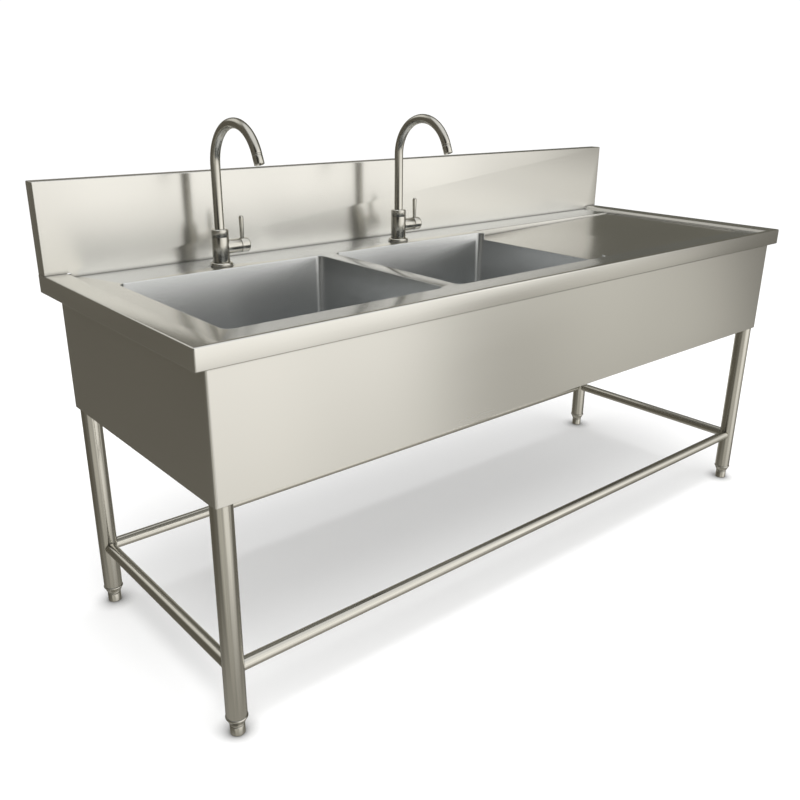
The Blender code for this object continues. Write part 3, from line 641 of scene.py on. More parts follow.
def hollow_under(block, sheet):
    """Takes out the space under the deck, which leaves folded sheet."""
    low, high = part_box("worktop")
    deck = deck_height(sheet)
    wall = sheet.thickness
    under = box_shape(
        (low.x + wall, low.y + wall, low.z + wall), (high.x - wall, high.y - wall, deck - wall),
    )
    mouth = box_shape(
        (low.x + sheet.lip_return, low.y + sheet.lip_return, low.z - REACH),
        (high.x - sheet.lip_return, high.y - wall, low.z + REACH / 2),
    )
    block = cut(block, under, mouth)
    for side in (-1, 1):
        ends = sorted((side * (high.x - wall), side * (high.x - sheet.side_strip + wall)))
        block = cut(block, box_shape(
            (ends[0], low.y + wall, low.z + REACH / 2), (ends[1], high.y - wall, high.z - wall),
        ))
    return block


def drain_fall(x, sheet, low, high):
    share = (high.x - x) / (high.x - low.x)
    return sheet.fall_shallow + (sheet.fall_deep - sheet.fall_shallow) * share


def sloped_block(low, high, below, sheet, tray):
    """A box whose underside lies a given distance below the drainboard's slope."""
    shape = box_shape(low, high)
    middle = (low[2] + high[2]) / 2
    for vert in shape.verts:
        if vert.co.z < middle:
            vert.co.z = deck_height(sheet) - drain_fall(vert.co.x, sheet, *tray) - below
    return shape


def bowl_inside(side, sheet):
    """The lowest and highest corners of a bowl's hollow."""
    low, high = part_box(side + "_bowl")
    wall = Vector((sheet.thickness,) * 3)
    return low + wall, Vector((high.x - wall.x, high.y - wall.y, high.z))


class BENCH_OT_top(bpy.types.Operator):
    """Make the bench top with its bowls and drainboard, welded and ground as one"""

    bl_idname = "bench.top"
    bl_label = "Bench top"

    def execute(self, context):
        sheet = context.scene.bench_sheet
        deck = deck_height(sheet)
        wall = sheet.thickness
        block = hollow_under(raised_block(sheet), sheet)
        buried = deck - wall / 2
        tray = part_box("drainboard")
        bowls = {side: bowl_inside(side, sheet) for side in SIDES}
        edge = bowls["right"][1].x
        tray_low = Vector((edge + HAIR, tray[0].y, deck - sheet.fall_deep))
        shells = [
            tub_shape(
                low - Vector((wall,) * 3), (high.x + wall, high.y + wall, buried),
                sheet.bowl_corner + wall, sheet.bowl_foot + wall,
            )
            for low, high in bowls.values()
        ]
        shells.append(sloped_block(tray_low, (tray[1].x, tray[1].y, buried), wall, sheet, tray))
        block = join(block, *shells)
        insides = [
            tub_shape(low, (high.x, high.y, deck + REACH), sheet.bowl_corner, sheet.bowl_foot)
            for low, high in bowls.values()
        ]
        corner = sheet.bowl_corner + wall
        insides.append(sloped_block(
            (tray[0].x + wall, tray[0].y + wall, tray_low.z),
            (tray[1].x - wall, tray[1].y - wall, deck + REACH), 0, sheet, tray,
        ))
        insides.append(sloped_block(
            (edge - wall, bowls["right"][0].y + corner, tray_low.z),
            (tray[0].x + REACH, bowls["right"][1].y - corner, deck + REACH), 0, sheet, tray,
        ))
        block = clean(cut(block, *insides))
        # The rims where the deck turns down into a bowl or the drainboard, up to the splashback.
        lips = [
            sharp for sharp in sharp_edges(block, 30)
            if all(face.normal.z > -0.3 for face in sharp.link_faces)
            and all(deck - sheet.fall_deep - wall < vert.co.z < deck + HAIR for vert in sharp.verts)
            and all(abs(vert.co.y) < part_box("splashback")[0].y for vert in sharp.verts)
        ]
        soften(block, lips, sheet.lip_round, 3)
        for side in SIDES:
            axis = tap_axis(side)
            middle = middle_of("waste_gasket_" + side)
            floor = bowls[side][0].z
            block = cut(
                block,
                rod_shape(TAP_HOLE, deck - REACH, deck + REACH, (axis.x, axis.y, 0)),
                rod_shape(WASTE_HOLE, floor - REACH, floor + REACH, (middle.x, middle.y, 0)),
            )
        turn_grain(place(
            block, "bench_top", finish("sheet"), "sheet", "bench",
            "worktop", "left_bowl", "right_bowl", "drainboard",
        ), [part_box("left_bowl"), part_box("right_bowl")])
        return {"FINISHED"}


class BENCH_OT_splashback(bpy.types.Operator):
    """Make the hollow splashback, with its turned-down back lip"""

    bl_idname = "bench.splashback"
    bl_label = "Splashback"

    def execute(self, context):
        sheet = context.scene.bench_sheet
        wall = sheet.thickness
        low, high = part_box("splashback")
        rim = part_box("worktop")[1].z
        shape = box_shape(low, high)
        folds = edges_where(shape, lambda place: place.z > high.z - HAIR) + upright(shape)
        soften(shape, folds, sheet.fold_round, 4)
        hollow = box_shape(
            (low.x + wall, low.y + wall, low.z - REACH),
            (high.x - wall, high.y - wall, high.z - wall),
        )
        behind = box_shape(
            (low.x + sheet.splash_return, (low.y + high.y) / 2, low.z - REACH),
            (high.x - sheet.splash_return, high.y + REACH, high.z - sheet.splash_return),
        )
        shape = cut(shape, hollow, behind)
        reach_in = sheet.side_strip + sheet.slope
        for side in (-1, 1):
            ends = sorted((side * (high.x + REACH), side * (high.x - reach_in)))
            shape = cut(shape, box_shape(
                (ends[0], low.y - REACH, low.z - REACH), (ends[1], high.y + REACH, rim + GAP),
            ))
        turn_grain(place(
            clean(shape), "splash_panel", finish("sheet"), "sheet", "bench", "splashback",
        ))
        return {"FINISHED"}


class BENCH_OT_aprons(bpy.types.Operator):
    """Make the apron: a front sheet bent round its corners, and an end sheet at both ends"""

    bl_idname = "bench.aprons"
    bl_label = "Aprons"

    def execute(self, context):
        sheet = context.scene.bench_sheet
        wall, bend = sheet.thickness, sheet.apron_corner
        low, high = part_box("front_apron")
        seam = low.y + bend * 2
        outer = box_shape(low, (high.x, seam, high.z))
        soften(outer, upright(outer, lambda place: place.y < low.y + HAIR), bend, 6)
        inner = box_shape(
            (low.x + wall, low.y + wall, low.z + wall),
            (high.x - wall, seam + REACH, high.z + REACH),
        )
        soften(inner, upright(inner, lambda place: place.y < low.y + wall + HAIR), bend - wall, 6)
        hem = abs(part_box("leg_front_left")[1].x + FIT)
        below = box_shape(
            (low.x + wall, low.y + sheet.apron_hem, low.z - REACH),
            (high.x - wall, seam + REACH, low.z + REACH),
        )
        outer = cut(outer, inner, below)
        for side in (-1, 1):
            ends = sorted((side * hem, side * (high.x - wall)))
            notch = box_shape(
                (ends[0], low.y + wall, low.z - REACH), (ends[1], seam + REACH, low.z + REACH),
            )
            bends = upright(
                notch, lambda place: abs(place.x) > hem + HAIR and place.y < low.y + wall + HAIR,
            )
            soften(notch, bends, bend - wall, 6)
            outer = cut(outer, notch)
        outer = clean(outer)
        lower_fold = [
            edge for edge in sharp_edges(outer, 60)
            if all(vert.co.z < low.z + HAIR for vert in edge.verts)
            and any(face.normal.y < -0.5 or abs(face.normal.x) > 0.5 for face in edge.link_faces)
            and all(
                vert.co.y < low.y + HAIR or abs(vert.co.x) > high.x - HAIR for vert in edge.verts
            )
        ]
        soften(outer, lower_fold, wall * LOWER_FOLD, 2)
        turn_grain(place(
            outer, "front_apron_sheet", finish("sheet"), "sheet", "bench", "front_apron",
        ))
        for side in SIDES:
            self.end(side, seam + FIT, sheet)
        return {"FINISHED"}

    def end(self, side, start, sheet):
        """An end sheet, with a hem along its foot that leaves room for the legs."""
        low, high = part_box(side + "_apron")
        outwards = math.copysign(1, low.x)
        panel = box_shape((low.x, start, low.z), high)
        outer_face = outwards * max(abs(low.x), abs(high.x))
        ends = sorted((
            outer_face - outwards * sheet.thickness,
            outer_face - outwards * (sheet.apron_hem + REACH),
        ))
        panel = cut(panel, box_shape(
            (ends[0], low.y - REACH, low.z + sheet.thickness),
            (ends[1], high.y + REACH, high.z + REACH),
        ))
        for name in ("leg_front_" + side, "leg_rear_" + side):
            leg_low, leg_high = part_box(name)
            panel = cut(panel, box_shape(
                (ends[0], leg_low.y - GAP, low.z - REACH),
                (ends[1], leg_high.y + GAP, low.z + REACH),
            ))
        place(
            clean(panel), side + "_apron_sheet", finish("end_sheet"), "sheet", "bench",
            side + "_apron",
        )


# ---- stand -----------------------------------------------------------------------------
class BENCH_OT_legs(bpy.types.Operator):
    """Make the tube legs, their foot inserts and the screw feet"""

    bl_idname = "bench.legs"
    bl_label = "Legs and feet"

    def execute(self, context):
        stand = context.scene.bench_stand
        for corner in CORNERS:
            low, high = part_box("leg_" + corner)
            centre = middle_of("leg_" + corner)
            at = (centre.x, centre.y, 0)
            radius = (high.x - low.x) / 2
            leg = turned_shape(
                tube_outline(radius - stand.leg_wall, radius, low.z, high.z), stand.facets,
                edge_round=0.4 * MM, at=at,
            )
            place(leg, "leg_tube_" + corner, finish("tube"), "tube", "bench", "leg_" + corner)
            self.insert(corner, at, low.z, radius - stand.leg_wall)
            self.foot(corner, at)
        return {"FINISHED"}

    def insert(self, corner, at, leg_bottom, plug):
        """A plug with a collar that bulges out under the leg and narrows to a neck."""
        bore = 8.3 * MM                 # clears the foot's screw
        overhang = 2.2 * MM             # of the bulge over the leg
        inset = 0.4 * MM                # of the neck from the foot's edge
        neck_height = 2.4 * MM
        ring, ring_height = 1.3 * MM, 4 * MM            # a small ring round the neck
        shoulder, shoulder_height = 1.6 * MM, 5.4 * MM  # where the bulge runs into the ring
        low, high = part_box("foot_insert_" + corner)
        foot_low, foot_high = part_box("foot_" + corner)
        radius = (high.x - low.x) / 2
        collar = leg_bottom - GAP
        leg_radius = plug + bpy.context.scene.bench_stand.leg_wall
        bead = (radius - leg_radius) / 2 + overhang
        neck = (foot_high.x - foot_low.x) / 2 - inset
        taper = [
            *arc((radius - bead, collar - bead), bead, 70, -62, 10),
            (neck + shoulder, low.z + shoulder_height),
            *arc((neck, low.z + ring_height), ring, 60, -60, 6),
            (neck, low.z + neck_height), (neck, low.z),
        ]
        outline = [
            (bore, low.z), (bore, high.z), (plug, high.z), (plug, collar), *taper, (bore, low.z),
        ]
        shape = turned_shape(outline, edge_round=0.5 * MM, at=at)
        place(shape, "collar_" + corner, finish("foot"), "foot", "bench", "foot_insert_" + corner)

    def foot(self, corner, at):
        """A round foot with bevelled rims, on a stem with the rings of a thread."""
        bevel = 1.2 * MM
        stem, thread_depth = 8 * MM, 0.9 * MM
        half_pitch, half_turns = 1.1 * MM, 42
        undercut, run_out = 7.6 * MM, 1 * MM            # the stem between foot and thread
        low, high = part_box("foot_" + corner)
        radius = (high.x - low.x) / 2
        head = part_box("foot_insert_" + corner)[0].z - GAP
        thread = [
            (stem - (thread_depth if turn % 2 else 0), head + run_out + turn * half_pitch)
            for turn in range(half_turns)
        ]
        outline = [
            (0, 0), (radius - bevel, 0), (radius, bevel), (radius, head - bevel),
            (radius - bevel, head), (undercut, head), *thread, (0, high.z),
        ]
        shape = turned_shape(outline, edge_round=0.3 * MM, at=at)
        place(
            shape, "screw_foot_" + corner, finish("foot"), "foot", corner + "_foot",
            "foot_" + corner,
        )


class BENCH_OT_rails(bpy.types.Operator):
    """Make the rails, with ends that fit round the legs"""

    bl_idname = "bench.rails"
    bl_label = "Rails"

    def execute(self, context):
        stand = context.scene.bench_stand
        ends = {
            "front": ("front_left", "front_right"),
            "rear": ("rear_left", "rear_right"),
            "left": ("front_left", "rear_left"),
            "right": ("front_right", "rear_right"),
        }
        leg_low, leg_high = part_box("leg_front_left")
        leg_radius = (leg_high.x - leg_low.x) / 2
        for name, (first, last) in ends.items():
            low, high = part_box(name + "_rail")
            radius = (high.z - low.z) / 2
            z = (low.z + high.z) / 2
            start, end = (middle_of("leg_" + corner) for corner in (first, last))
            start.z = end.z = z
            along = end - start
            turn = Matrix.Translation(start) @ along.to_track_quat("Z", "X").to_matrix().to_4x4()
            outline = tube_outline(radius - stand.rail_wall, radius, 0, along.length)
            rail = turn_shape(turned_shape(outline, facets=48), turn)
            for centre in (start, end):
                rail = cut(rail, rod_shape(
                    leg_radius + HAIR, -radius * 2, radius * 2, centre, stand.facets,
                ))
            key = "rail" if name in ("front", "rear") else "cross_rail"
            place(clean(rail), name + "_rail_tube", finish(key), "tube", "bench", name + "_rail")
        return {"FINISHED"}


# ---- taps ------------------------------------------------------------------------------
def joint_place(name):
    for joint in frame["joints"]:
        if joint["name"] == name:
            return joint["pos_m"]
    raise RuntimeError("the frame has no joint called " + name)


def tap_axis(side):
    return Vector(joint_place(side + "_spout_swivel"))


def along_valve(side):
    """Lays a shape that is spun round Z along the tap's valve."""
    axis = tap_axis(side)
    height = joint_place(side + "_handle_turn")[2]
    return Matrix.Translation((axis.x, axis.y, height)) @ Matrix.Rotation(math.pi / 2, 4, "Y")


def extrude_cap(shape, cap, shift, scale=1.0):
    """Extrudes the end face, moves it, and scales it about its own centre."""
    made = bmesh.ops.extrude_face_region(shape, geom=[cap, *cap.edges])["geom"]
    verts = [item for item in made if isinstance(item, bmesh.types.BMVert)]
    new_cap = [item for item in made if isinstance(item, bmesh.types.BMFace)][0]
    bmesh.ops.translate(shape, vec=shift, verts=verts)
    centre = new_cap.calc_center_median()
    bmesh.ops.scale(
        shape, vec=(scale,) * 3, space=Matrix.Translation(-centre), verts=verts,
    )
    return new_cap


class BENCH_OT_taps(bpy.types.Operator):
    """Make both swan-neck taps, with their swivel spouts and pin levers"""

    bl_idname = "bench.taps"
    bl_label = "Taps"

    arch_radius: FloatProperty(
        name="Arch radius", description="Radius of the spout's arch",
        default=93 * MM, unit="LENGTH",
    )
    sweep: FloatProperty(
        name="Sweep", description="Turn of the spout's arch",
        default=math.radians(158.0), subtype="ANGLE",
    )
    nozzle_wall: FloatProperty(
        name="Nozzle wall", description="Wall of the nozzle", default=1.8 * MM, unit="LENGTH",
    )
    lever_root: FloatProperty(
        name="Lever root", description="Radius of the lever at the hub",
        default=4.5 * MM, unit="LENGTH",
    )

    def execute(self, context):
        for side in SIDES:
            axis = tap_axis(side)
            self.body(side, axis)
            self.rose(side, axis)
            self.spout(side, axis)
            self.handle(side, axis)
        return {"FINISHED"}

    def body(self, side, axis):
        """A column with a threaded shank below the deck and a valve housing on one side."""
        water_way, shank = 8.3 * MM, 15 * MM
        housing_start = 12 * MM                         # from the column's axis
        valve_bore, valve_seat = 11 * MM, 12.5 * MM
        low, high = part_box("tap_body_" + side)
        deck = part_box("tap_flange_" + side)[0].z
        radius, end = axis.x - low.x, high.x - axis.x
        outline = [
            (water_way, low.z), (shank, low.z), (shank, deck), (radius, deck), (radius, high.z),
            (water_way, high.z), (water_way, low.z),
        ]
        body = turned_shape(outline, edge_round=0.5 * MM, at=(axis.x, axis.y, 0))
        hub_low, hub_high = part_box("handle_hub_" + side)
        across = (hub_high.z - hub_low.z) / 2
        housing = turned_shape(
            [(0, housing_start), (across, housing_start), (across, end), (0, end)],
            edge_round=0.7 * MM,
        )
        body = join(body, turn_shape(housing, along_valve(side)))
        bore = rod_shape(valve_bore, valve_seat, end + REACH, (0, 0, 0))
        body = clean(cut(body, turn_shape(bore, along_valve(side))))
        place(
            body, "tap_column_" + side, finish("tap"), "tap", "bench", "tap_body_" + side,
        )

    def rose(self, side, axis):
        """A domed flange round the foot of the column."""
        lip = 1.2 * MM                                  # flat ring between dome and column
        edge_share, dome_share = 0.3, 0.68              # of the flange's height
        low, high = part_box("tap_flange_" + side)
        inner = axis.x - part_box("tap_body_" + side)[0].x + FIT
        outer = (high.x - low.x) / 2
        height = high.z - low.z
        edge = low.z + height * edge_share
        dome = arc((inner + lip, edge), outer - inner - lip, 0, 78, 8)
        squash = height * dome_share / max(z - edge for x, z in dome)
        outline = [
            (inner, low.z), (outer, low.z), *((x, edge + (z - edge) * squash) for x, z in dome),
            (inner, high.z), (inner, low.z),
        ]
        place(
            turned_shape(outline, edge_round=0.25 * MM, at=(axis.x, axis.y, 0)),
            "tap_rose_" + side, finish("tap"), "tap", "bench", "tap_flange_" + side,
        )

    def spout(self, side, axis):
        """A swan neck that swivels on a stub in the column, and its nozzle."""
        stub = 8 * MM                                   # radius of the part in the column
        sleeve_height, taper_height, taper = 15.5 * MM, 2 * MM, 0.86
        mouth = 8 * MM                                  # length of the plug in the nozzle
        low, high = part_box("spout_" + side)
        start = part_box("tap_body_" + side)[1].z + GAP
        nozzle_low, nozzle_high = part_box("aerator_" + side)
        sleeve, tube = (high.x - low.x) / 2, (nozzle_high.x - nozzle_low.x) / 2
        arch_centre = high.z - self.arch_radius - tube
        straight = arch_centre - start - sleeve_height - taper_height
        shape = bmesh.new()
        bmesh.ops.create_circle(
            shape, cap_ends=True, segments=48, radius=stub,
            matrix=Matrix.Translation((0, 0, low.z)),
        )
        flat = (0, 0, 0)
        cap = extrude_cap(shape, shape.faces[:][0], (0, 0, start - low.z))
        cap = extrude_cap(shape, cap, flat, sleeve / stub)
        cap = extrude_cap(shape, cap, (0, 0, sleeve_height))
        cap = extrude_cap(shape, cap, (0, 0, taper_height), taper)
        cap = extrude_cap(shape, cap, flat, tube / (sleeve * taper))
        cap = extrude_cap(shape, cap, (0, 0, straight))
        made = bmesh.ops.spin(
            shape, geom=[cap, *cap.edges, *cap.verts], cent=(0, -self.arch_radius, arch_centre),
            axis=(1, 0, 0), dvec=flat, angle=self.sweep, steps=56, use_merge=False,
            use_duplicate=False,
        )["geom_last"]
        cap = [item for item in made if isinstance(item, bmesh.types.BMFace)][0]
        way = Vector((0, -math.sin(self.sweep), math.cos(self.sweep)))
        bore = tube - self.nozzle_wall
        cap = extrude_cap(shape, cap, flat, (bore - GAP) / tube)
        extrude_cap(shape, cap, way * mouth)
        bmesh.ops.recalc_face_normals(shape, faces=shape.faces)
        soften(shape, sharp_edges(shape, 40), 0.4 * MM, 2)
        bmesh.ops.translate(shape, vec=(axis.x, axis.y, 0), verts=shape.verts)
        place(shape, "swan_neck_" + side, finish("tap"), "tap", side + "_spout", "spout_" + side)
        end = Vector((
            axis.x, axis.y - self.arch_radius * (1 - math.cos(self.sweep)),
            arch_centre + self.arch_radius * math.sin(self.sweep),
        ))
        turn = Matrix.Translation(end) @ way.to_track_quat("Z", "X").to_matrix().to_4x4()
        place(
            turn_shape(self.nozzle(bore, tube), turn), "nozzle_" + side, finish("tap"), "tap",
            side + "_spout", "aerator_" + side,
        )

    def nozzle(self, inner, outer):
        """A ring with a groove round it and a screen across it, from the spout's end on."""
        start, length = 0.3 * MM, 22 * MM
        screen_start, screen_end = 9.3 * MM, 12 * MM
        groove_start, groove_end = 3 * MM, 4.8 * MM
        groove_depth, groove_slope = 0.6 * MM, 0.4 * MM
        bottom = outer - groove_depth
        outline = [
            (0, screen_start), (inner, screen_start), (inner, start), (outer, start),
            (outer, groove_start), (bottom, groove_start + groove_slope),
            (bottom, groove_end - groove_slope), (outer, groove_end),
            (outer, length), (inner, length), (inner, screen_end), (0, screen_end),
        ]
        return turned_shape(outline, facets=48, edge_round=0.3 * MM)

    def handle(self, side, axis):
        """A domed hub on the valve's stem, and the pin that turns it."""
        stem, dome = 4 * MM, 4 * MM
        clearance = 1 * MM                              # between housing and hub
        low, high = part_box("handle_hub_" + side)
        radius = (high.z - low.z) / 2
        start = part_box("tap_body_" + side)[1].x + clearance - axis.x
        inside, end = low.x - axis.x, high.x - axis.x
        outline = [
            (0, inside), (stem, inside), (stem, start), (radius, start),
            *arc((radius - dome, end - dome), dome, 0, 90, 8), (0, end),
        ]
        hub = turn_shape(turned_shape(outline, edge_round=0.4 * MM), along_valve(side))
        pin_low, pin_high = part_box("handle_lever_" + side)
        pin = middle_of("handle_lever_" + side)
        at = (pin.x, pin.y, 0)
        top = joint_place(side + "_handle_turn")[2] + radius
        root, tip = self.lever_root, (pin_high.x - pin_low.x) / 2
        hub = cut(hub, rod_shape(root + FIT, pin_low.z - HAIR, top + REACH, at, 32))
        place(
            clean(hub), "lever_hub_" + side, finish("tap"), "tap", side + "_handle",
            "handle_hub_" + side,
        )
        outline = [
            (0, pin_low.z), (root, pin_low.z), (root, top + GAP),
            *arc((0, pin_high.z - tip), tip, 0, 90, 8),
        ]
        place(
            turned_shape(outline, facets=32, at=at), "pin_lever_" + side, finish("tap"), "tap",
            side + "_handle", "handle_lever_" + side,
        )


# ---- wastes ----------------------------------------------------------------------------
class BENCH_OT_wastes(bpy.types.Operator):
    """Make the basket wastes, with their lift-out strainers"""

    bl_idname = "bench.wastes"
    bl_label = "Wastes"

    def execute(self, context):
        for side in SIDES:
            middle = middle_of("waste_body_" + side)
            at = (middle.x, middle.y, 0)
            self.cup(side, at)
            self.strainer(side, at)
            low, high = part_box("tailpiece_" + side)
            radius, wall = (high.x - low.x) / 2, 2 * MM
            pipe = turned_shape(
                tube_outline(radius - wall, radius, low.z, high.z), facets=48,
                edge_round=0.3 * MM, at=at,
            )
            place(
                pipe, "waste_pipe_" + side, finish("waste"), "waste", "bench",
                "tailpiece_" + side,
            )
        return {"FINISHED"}

    def cup(self, side, at):
        """A pressed cup with a rolled flange, that narrows to its outlet."""
        cup, outlet, wall = 42 * MM, 23.5 * MM, 2 * MM
        cup_depth, cone_height = 42 * MM, 16 * MM       # under the bowl's floor
        edge, rolled_in, flat_ring = 1.2 * MM, 2 * MM, 4 * MM
        lip_depth, lip_curve = 1.5 * MM, 0.4 * MM
        low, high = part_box("waste_body_" + side)
        flange = (high.x - low.x) / 2
        cup_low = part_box(side + "_bowl")[0].z - cup_depth
        cone_low = cup_low - cone_height
        outline = [
            (flange, high.z - edge), (flange, high.z - wall), (cup, high.z - wall),
            (cup, cup_low), (outlet, cone_low), (outlet, low.z), (outlet - wall, low.z),
            (outlet - wall, cone_low + wall), (cup - wall, cup_low + wall),
            (cup - wall, high.z - lip_depth), (cup, high.z - lip_curve),
            (cup + rolled_in, high.z), (flange - flat_ring, high.z), (flange, high.z - edge),
        ]
        place(
            turned_shape(outline, facets=72, edge_round=0.2 * MM, at=at), "waste_cup_" + side,
            finish("waste"), "waste", "bench", "waste_body_" + side,
        )

    def strainer(self, side, at):
        """A pressed basket with three rings of holes and a knob to lift it by."""
        cup, wall, corner, inner_corner = 36 * MM, 1.2 * MM, 3 * MM, 3.4 * MM
        stem, knob, stem_height, knob_height = 3.5 * MM, 7 * MM, 9 * MM, 16 * MM
        rings = ((14 * MM, 8), (21 * MM, 12), (28 * MM, 16))    # radius, number of holes
        hole = 2 * MM
        low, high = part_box("basket_" + side)
        lip = (high.x - low.x) / 2
        rim = high.z - wall
        outline = [
            (0, low.z), (cup - corner, low.z), (cup, low.z + corner), (cup, rim), (lip, rim),
            (lip, high.z), (cup - wall, high.z), (cup - wall, low.z + inner_corner),
            (cup - inner_corner, low.z + wall), (stem, low.z + wall), (stem, low.z + stem_height),
            *arc((knob - corner, low.z + knob_height - corner), corner, -60, 90, 6),
            (0, low.z + knob_height),
        ]
        shape = turned_shape(outline, facets=72, at=at)
        for ring, count in rings:
            for number in range(count):
                turn = 2 * math.pi * number / count
                shape = cut(shape, rod_shape(
                    hole, low.z - 2 * MM, low.z + 3 * MM,
                    (at[0] + ring * math.cos(turn), at[1] + ring * math.sin(turn), 0), 10,
                ))
        place(
            shape, "strainer_" + side, finish("waste"), "waste", side + "_basket",
            "basket_" + side,
        )


class BENCH_OT_carried(bpy.types.Operator):
    """Give the plain pieces that stay as they are their finishes"""

    bl_idname = "bench.carried"
    bl_label = "Plain pieces"

    def execute(self, context):
        keys = {
            "drainboard_rib": "sheet", "rear_channel": "sheet", "leg_socket": "socket",
            "tap_gasket": "silicone", "tap_nut": "nut", "valve": "nut", "waste_gasket": "rubber",
            "waste_locknut": "plastic", "slip_nut": "plastic",
        }
        for name, node in frame["nodes"].items():
            for start, key in keys.items():
                if name.startswith(start):
                    for slot in node.material_slots:
                        slot.material = finish(key)
        return {"FINISHED"}


# ---- stage -----------------------------------------------------------------------------
ROOM = "75726A"         # the walls that the steel mirrors where no panel stands
PANELS = (              # direction, edge and core of the panel in degrees, colour, strength
    ((0, 0, -1), 60, 25, "A8A59D", 1.0),
    ((0.26, -0.966, 0.0), 64, 8, "FFFCF6", 1.10),
    ((0.46, -0.80, 0.38), 42, 14, "FAF8F4", 1.40),
    ((0.74, -0.62, -0.30), 13, 4, "A4A198", 1.0),
    ((0.87, -0.50, -0.30), 13, 4, "D6D3CA", 1.0),
    ((-0.60, -0.70, -0.45), 36, 10, "C6C3BA", 1.0),
    ((-0.60, 0.75, 0.15), 64, 32, "68645A", 1.0),
    ((0.85, 0.50, 0.3), 42, 18, "66645A", 1.0),
    ((0.10, -0.20, 0.97), 50, 25, "FFFFFF", 1.0),
    ((-0.70, -0.60, 0.40), 30, 14, "33312C", 1.0),
    ((-0.20, 0.75, 0.65), 26, 9, "F2F0EA", 1.0),
    ((0.45, 0.86, -0.25), 30, 12, "B4B1A8", 1.0),
)


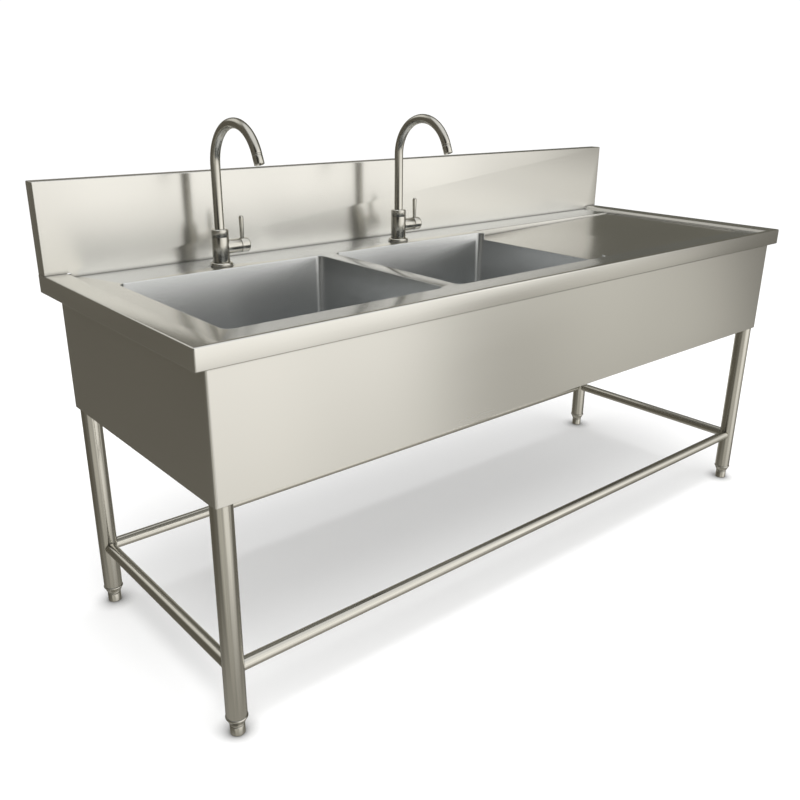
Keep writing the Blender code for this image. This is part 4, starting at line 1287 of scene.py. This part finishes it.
class BENCH_OT_stage(bpy.types.Operator):
    """Make the floor, the studio light and the camera"""

    bl_idname = "bench.stage"
    bl_label = "Studio"

    def execute(self, context):
        settings = context.scene.bench_stage
        self.floor()
        self.light(settings)
        self.sky()
        self.camera(settings)
        context.scene.view_settings.view_transform = "Standard"
        return {"FINISHED"}

    def plane(self, name, size):
        shape = bmesh.new()
        bmesh.ops.create_grid(shape, x_segments=1, y_segments=1, size=size / 2)
        mesh = bpy.data.meshes.new(name)
        shape.to_mesh(mesh)
        shape.free()
        piece = bpy.data.objects.new(name, mesh)
        bpy.context.scene.collection.objects.link(piece)
        return piece

    def floor(self):
        """White floor with painted contact shadow round the feet, which the steel doesn't mirror:
        it mirrors the walls all round instead.
        """
        floor = self.plane("studio_floor", 60)
        material = plain_finish("painted_studio_floor", "FFFFFF", roughness=1.0, metallic=0.0)
        tree = material.node_tree
        shader = tree.nodes["Principled BSDF"]
        shader.inputs["Specular IOR Level"].default_value = 0.0
        # Painted shadow: the white darkens within 45 mm of the feet and of any other surface close
        # above it.
        tree.links.new(painted_crease_shade(tree, 45 * MM, 0.3), shader.inputs["Base Color"])
        floor.data.materials.append(material)
        floor.visible_glossy = False

    def light(self, settings):
        lamp = bpy.data.lights.new("overhead_softbox", "AREA")
        lamp.shape = "RECTANGLE"
        lamp.size, lamp.size_y = 3.2, 2.4
        lamp.energy = settings.key_power
        softbox = bpy.data.objects.new("overhead_softbox", lamp)
        softbox.location = (-0.4, -0.9, 2.9)
        softbox.rotation_euler = (math.radians(14), math.radians(-6), 0)
        softbox.visible_glossy = False
        bpy.context.scene.collection.objects.link(softbox)

    def sky(self):
        """White walls to the eye, and a room of soft light and dark panels to the steel."""
        world = bpy.data.worlds.new("studio_walls")
        bpy.context.scene.world = world
        world.use_nodes = True
        tree = world.node_tree
        tree.nodes.clear()
        way = add_node(tree, "ShaderNodeTexCoord").outputs["Generated"]
        room = add_node(tree, "ShaderNodeRGB").outputs["Color"]
        room.default_value = linear(ROOM)
        for direction, spread, core, colour, strength in PANELS:
            towards = add_node(
                tree, "ShaderNodeVectorMath",
                {"operation": "DOT_PRODUCT", 1: Vector(direction).normalized()}, {0: way},
            ).outputs["Value"]
            share = add_node(
                tree, "ShaderNodeMapRange",
                {
                    "interpolation_type": "SMOOTHSTEP",
                    "From Min": math.cos(math.radians(spread)),
                    "From Max": math.cos(math.radians(core)),
                },
                {"Value": towards},
            ).outputs["Result"]
            room = add_node(
                tree, "ShaderNodeMix",
                {"data_type": "RGBA", 7: [part * strength for part in linear(colour)]},
                {0: share, 6: room},
            ).outputs[2]
        uneven = noise_range(tree, noise(tree, way, (9.0, 9.0, 0.8), 2.0, 0.5), 0.80, 1.14)
        room = add_node(
            tree, "ShaderNodeVectorMath", {"operation": "SCALE"}, {0: room, "Scale": uneven},
        ).outputs["Vector"]
        mirrored = add_node(tree, "ShaderNodeLightPath").outputs["Is Glossy Ray"]
        shown = add_node(
            tree, "ShaderNodeMix", {"data_type": "RGBA", 6: (1.05, 1.05, 1.05, 1.0)},
            {0: mirrored, 7: room},
        )
        back = add_node(
            tree, "ShaderNodeBackground", {"Strength": 1.0}, {"Color": shown.outputs[2]},
        )
        out = add_node(tree, "ShaderNodeOutputWorld")
        tree.links.new(back.outputs["Background"], out.inputs["Surface"])

    def camera(self, settings):
        data = bpy.data.cameras.new("studio_camera")
        data.lens = settings.lens
        data.clip_end = 100
        camera = bpy.data.objects.new("studio_camera", data)
        bpy.context.scene.collection.objects.link(camera)
        turn = (
            Matrix.Rotation(settings.camera_yaw, 4, "Z")
            @ Matrix.Rotation(math.pi / 2 - settings.camera_pitch, 4, "X")
            @ Matrix.Rotation(settings.camera_roll, 4, "Z")
        )
        camera.matrix_world = Matrix.Translation(settings.camera_place) @ turn
        bpy.context.scene.camera = camera


# ---- add-on ----------------------------------------------------------------------------
OPERATORS = (
    BENCH_OT_top,
    BENCH_OT_splashback,
    BENCH_OT_aprons,
    BENCH_OT_legs,
    BENCH_OT_rails,
    BENCH_OT_taps,
    BENCH_OT_wastes,
    BENCH_OT_carried,
    BENCH_OT_stage,
)
SETTINGS = {
    "bench_sheet": SheetSettings,
    "bench_stand": StandSettings,
    "bench_finishes": FinishSettings,
    "bench_stage": StageSettings,
}


class BENCH_PT_panel(bpy.types.Panel):
    """Sink bench settings and builders"""

    bl_idname = "BENCH_PT_panel"
    bl_label = "Sink Bench"
    bl_space_type = "VIEW_3D"
    bl_region_type = "UI"
    bl_category = "Sink Bench"

    def draw(self, context):
        for operator in OPERATORS:
            self.layout.operator(operator.bl_idname)
        for name, group in SETTINGS.items():
            column = self.layout.column(align=True)
            for key in group.__annotations__:
                column.prop(getattr(context.scene, name), key)


def register():
    for item in (*SETTINGS.values(), *OPERATORS, BENCH_PT_panel):
        bpy.utils.register_class(item)
    for name, group in SETTINGS.items():
        setattr(bpy.types.Scene, name, PointerProperty(type=group))


def unregister():
    for name in SETTINGS:
        delattr(bpy.types.Scene, name)
    for item in reversed((*SETTINGS.values(), *OPERATORS, BENCH_PT_panel)):
        bpy.utils.unregister_class(item)


def main():
    register()
    bpy.ops.bench.top()
    bpy.ops.bench.splashback()
    bpy.ops.bench.aprons()
    bpy.ops.bench.legs()
    bpy.ops.bench.rails()
    bpy.ops.bench.taps()
    bpy.ops.bench.wastes()
    bpy.ops.bench.carried()
    bpy.ops.bench.stage()


if __name__ == "__main__":
    main()
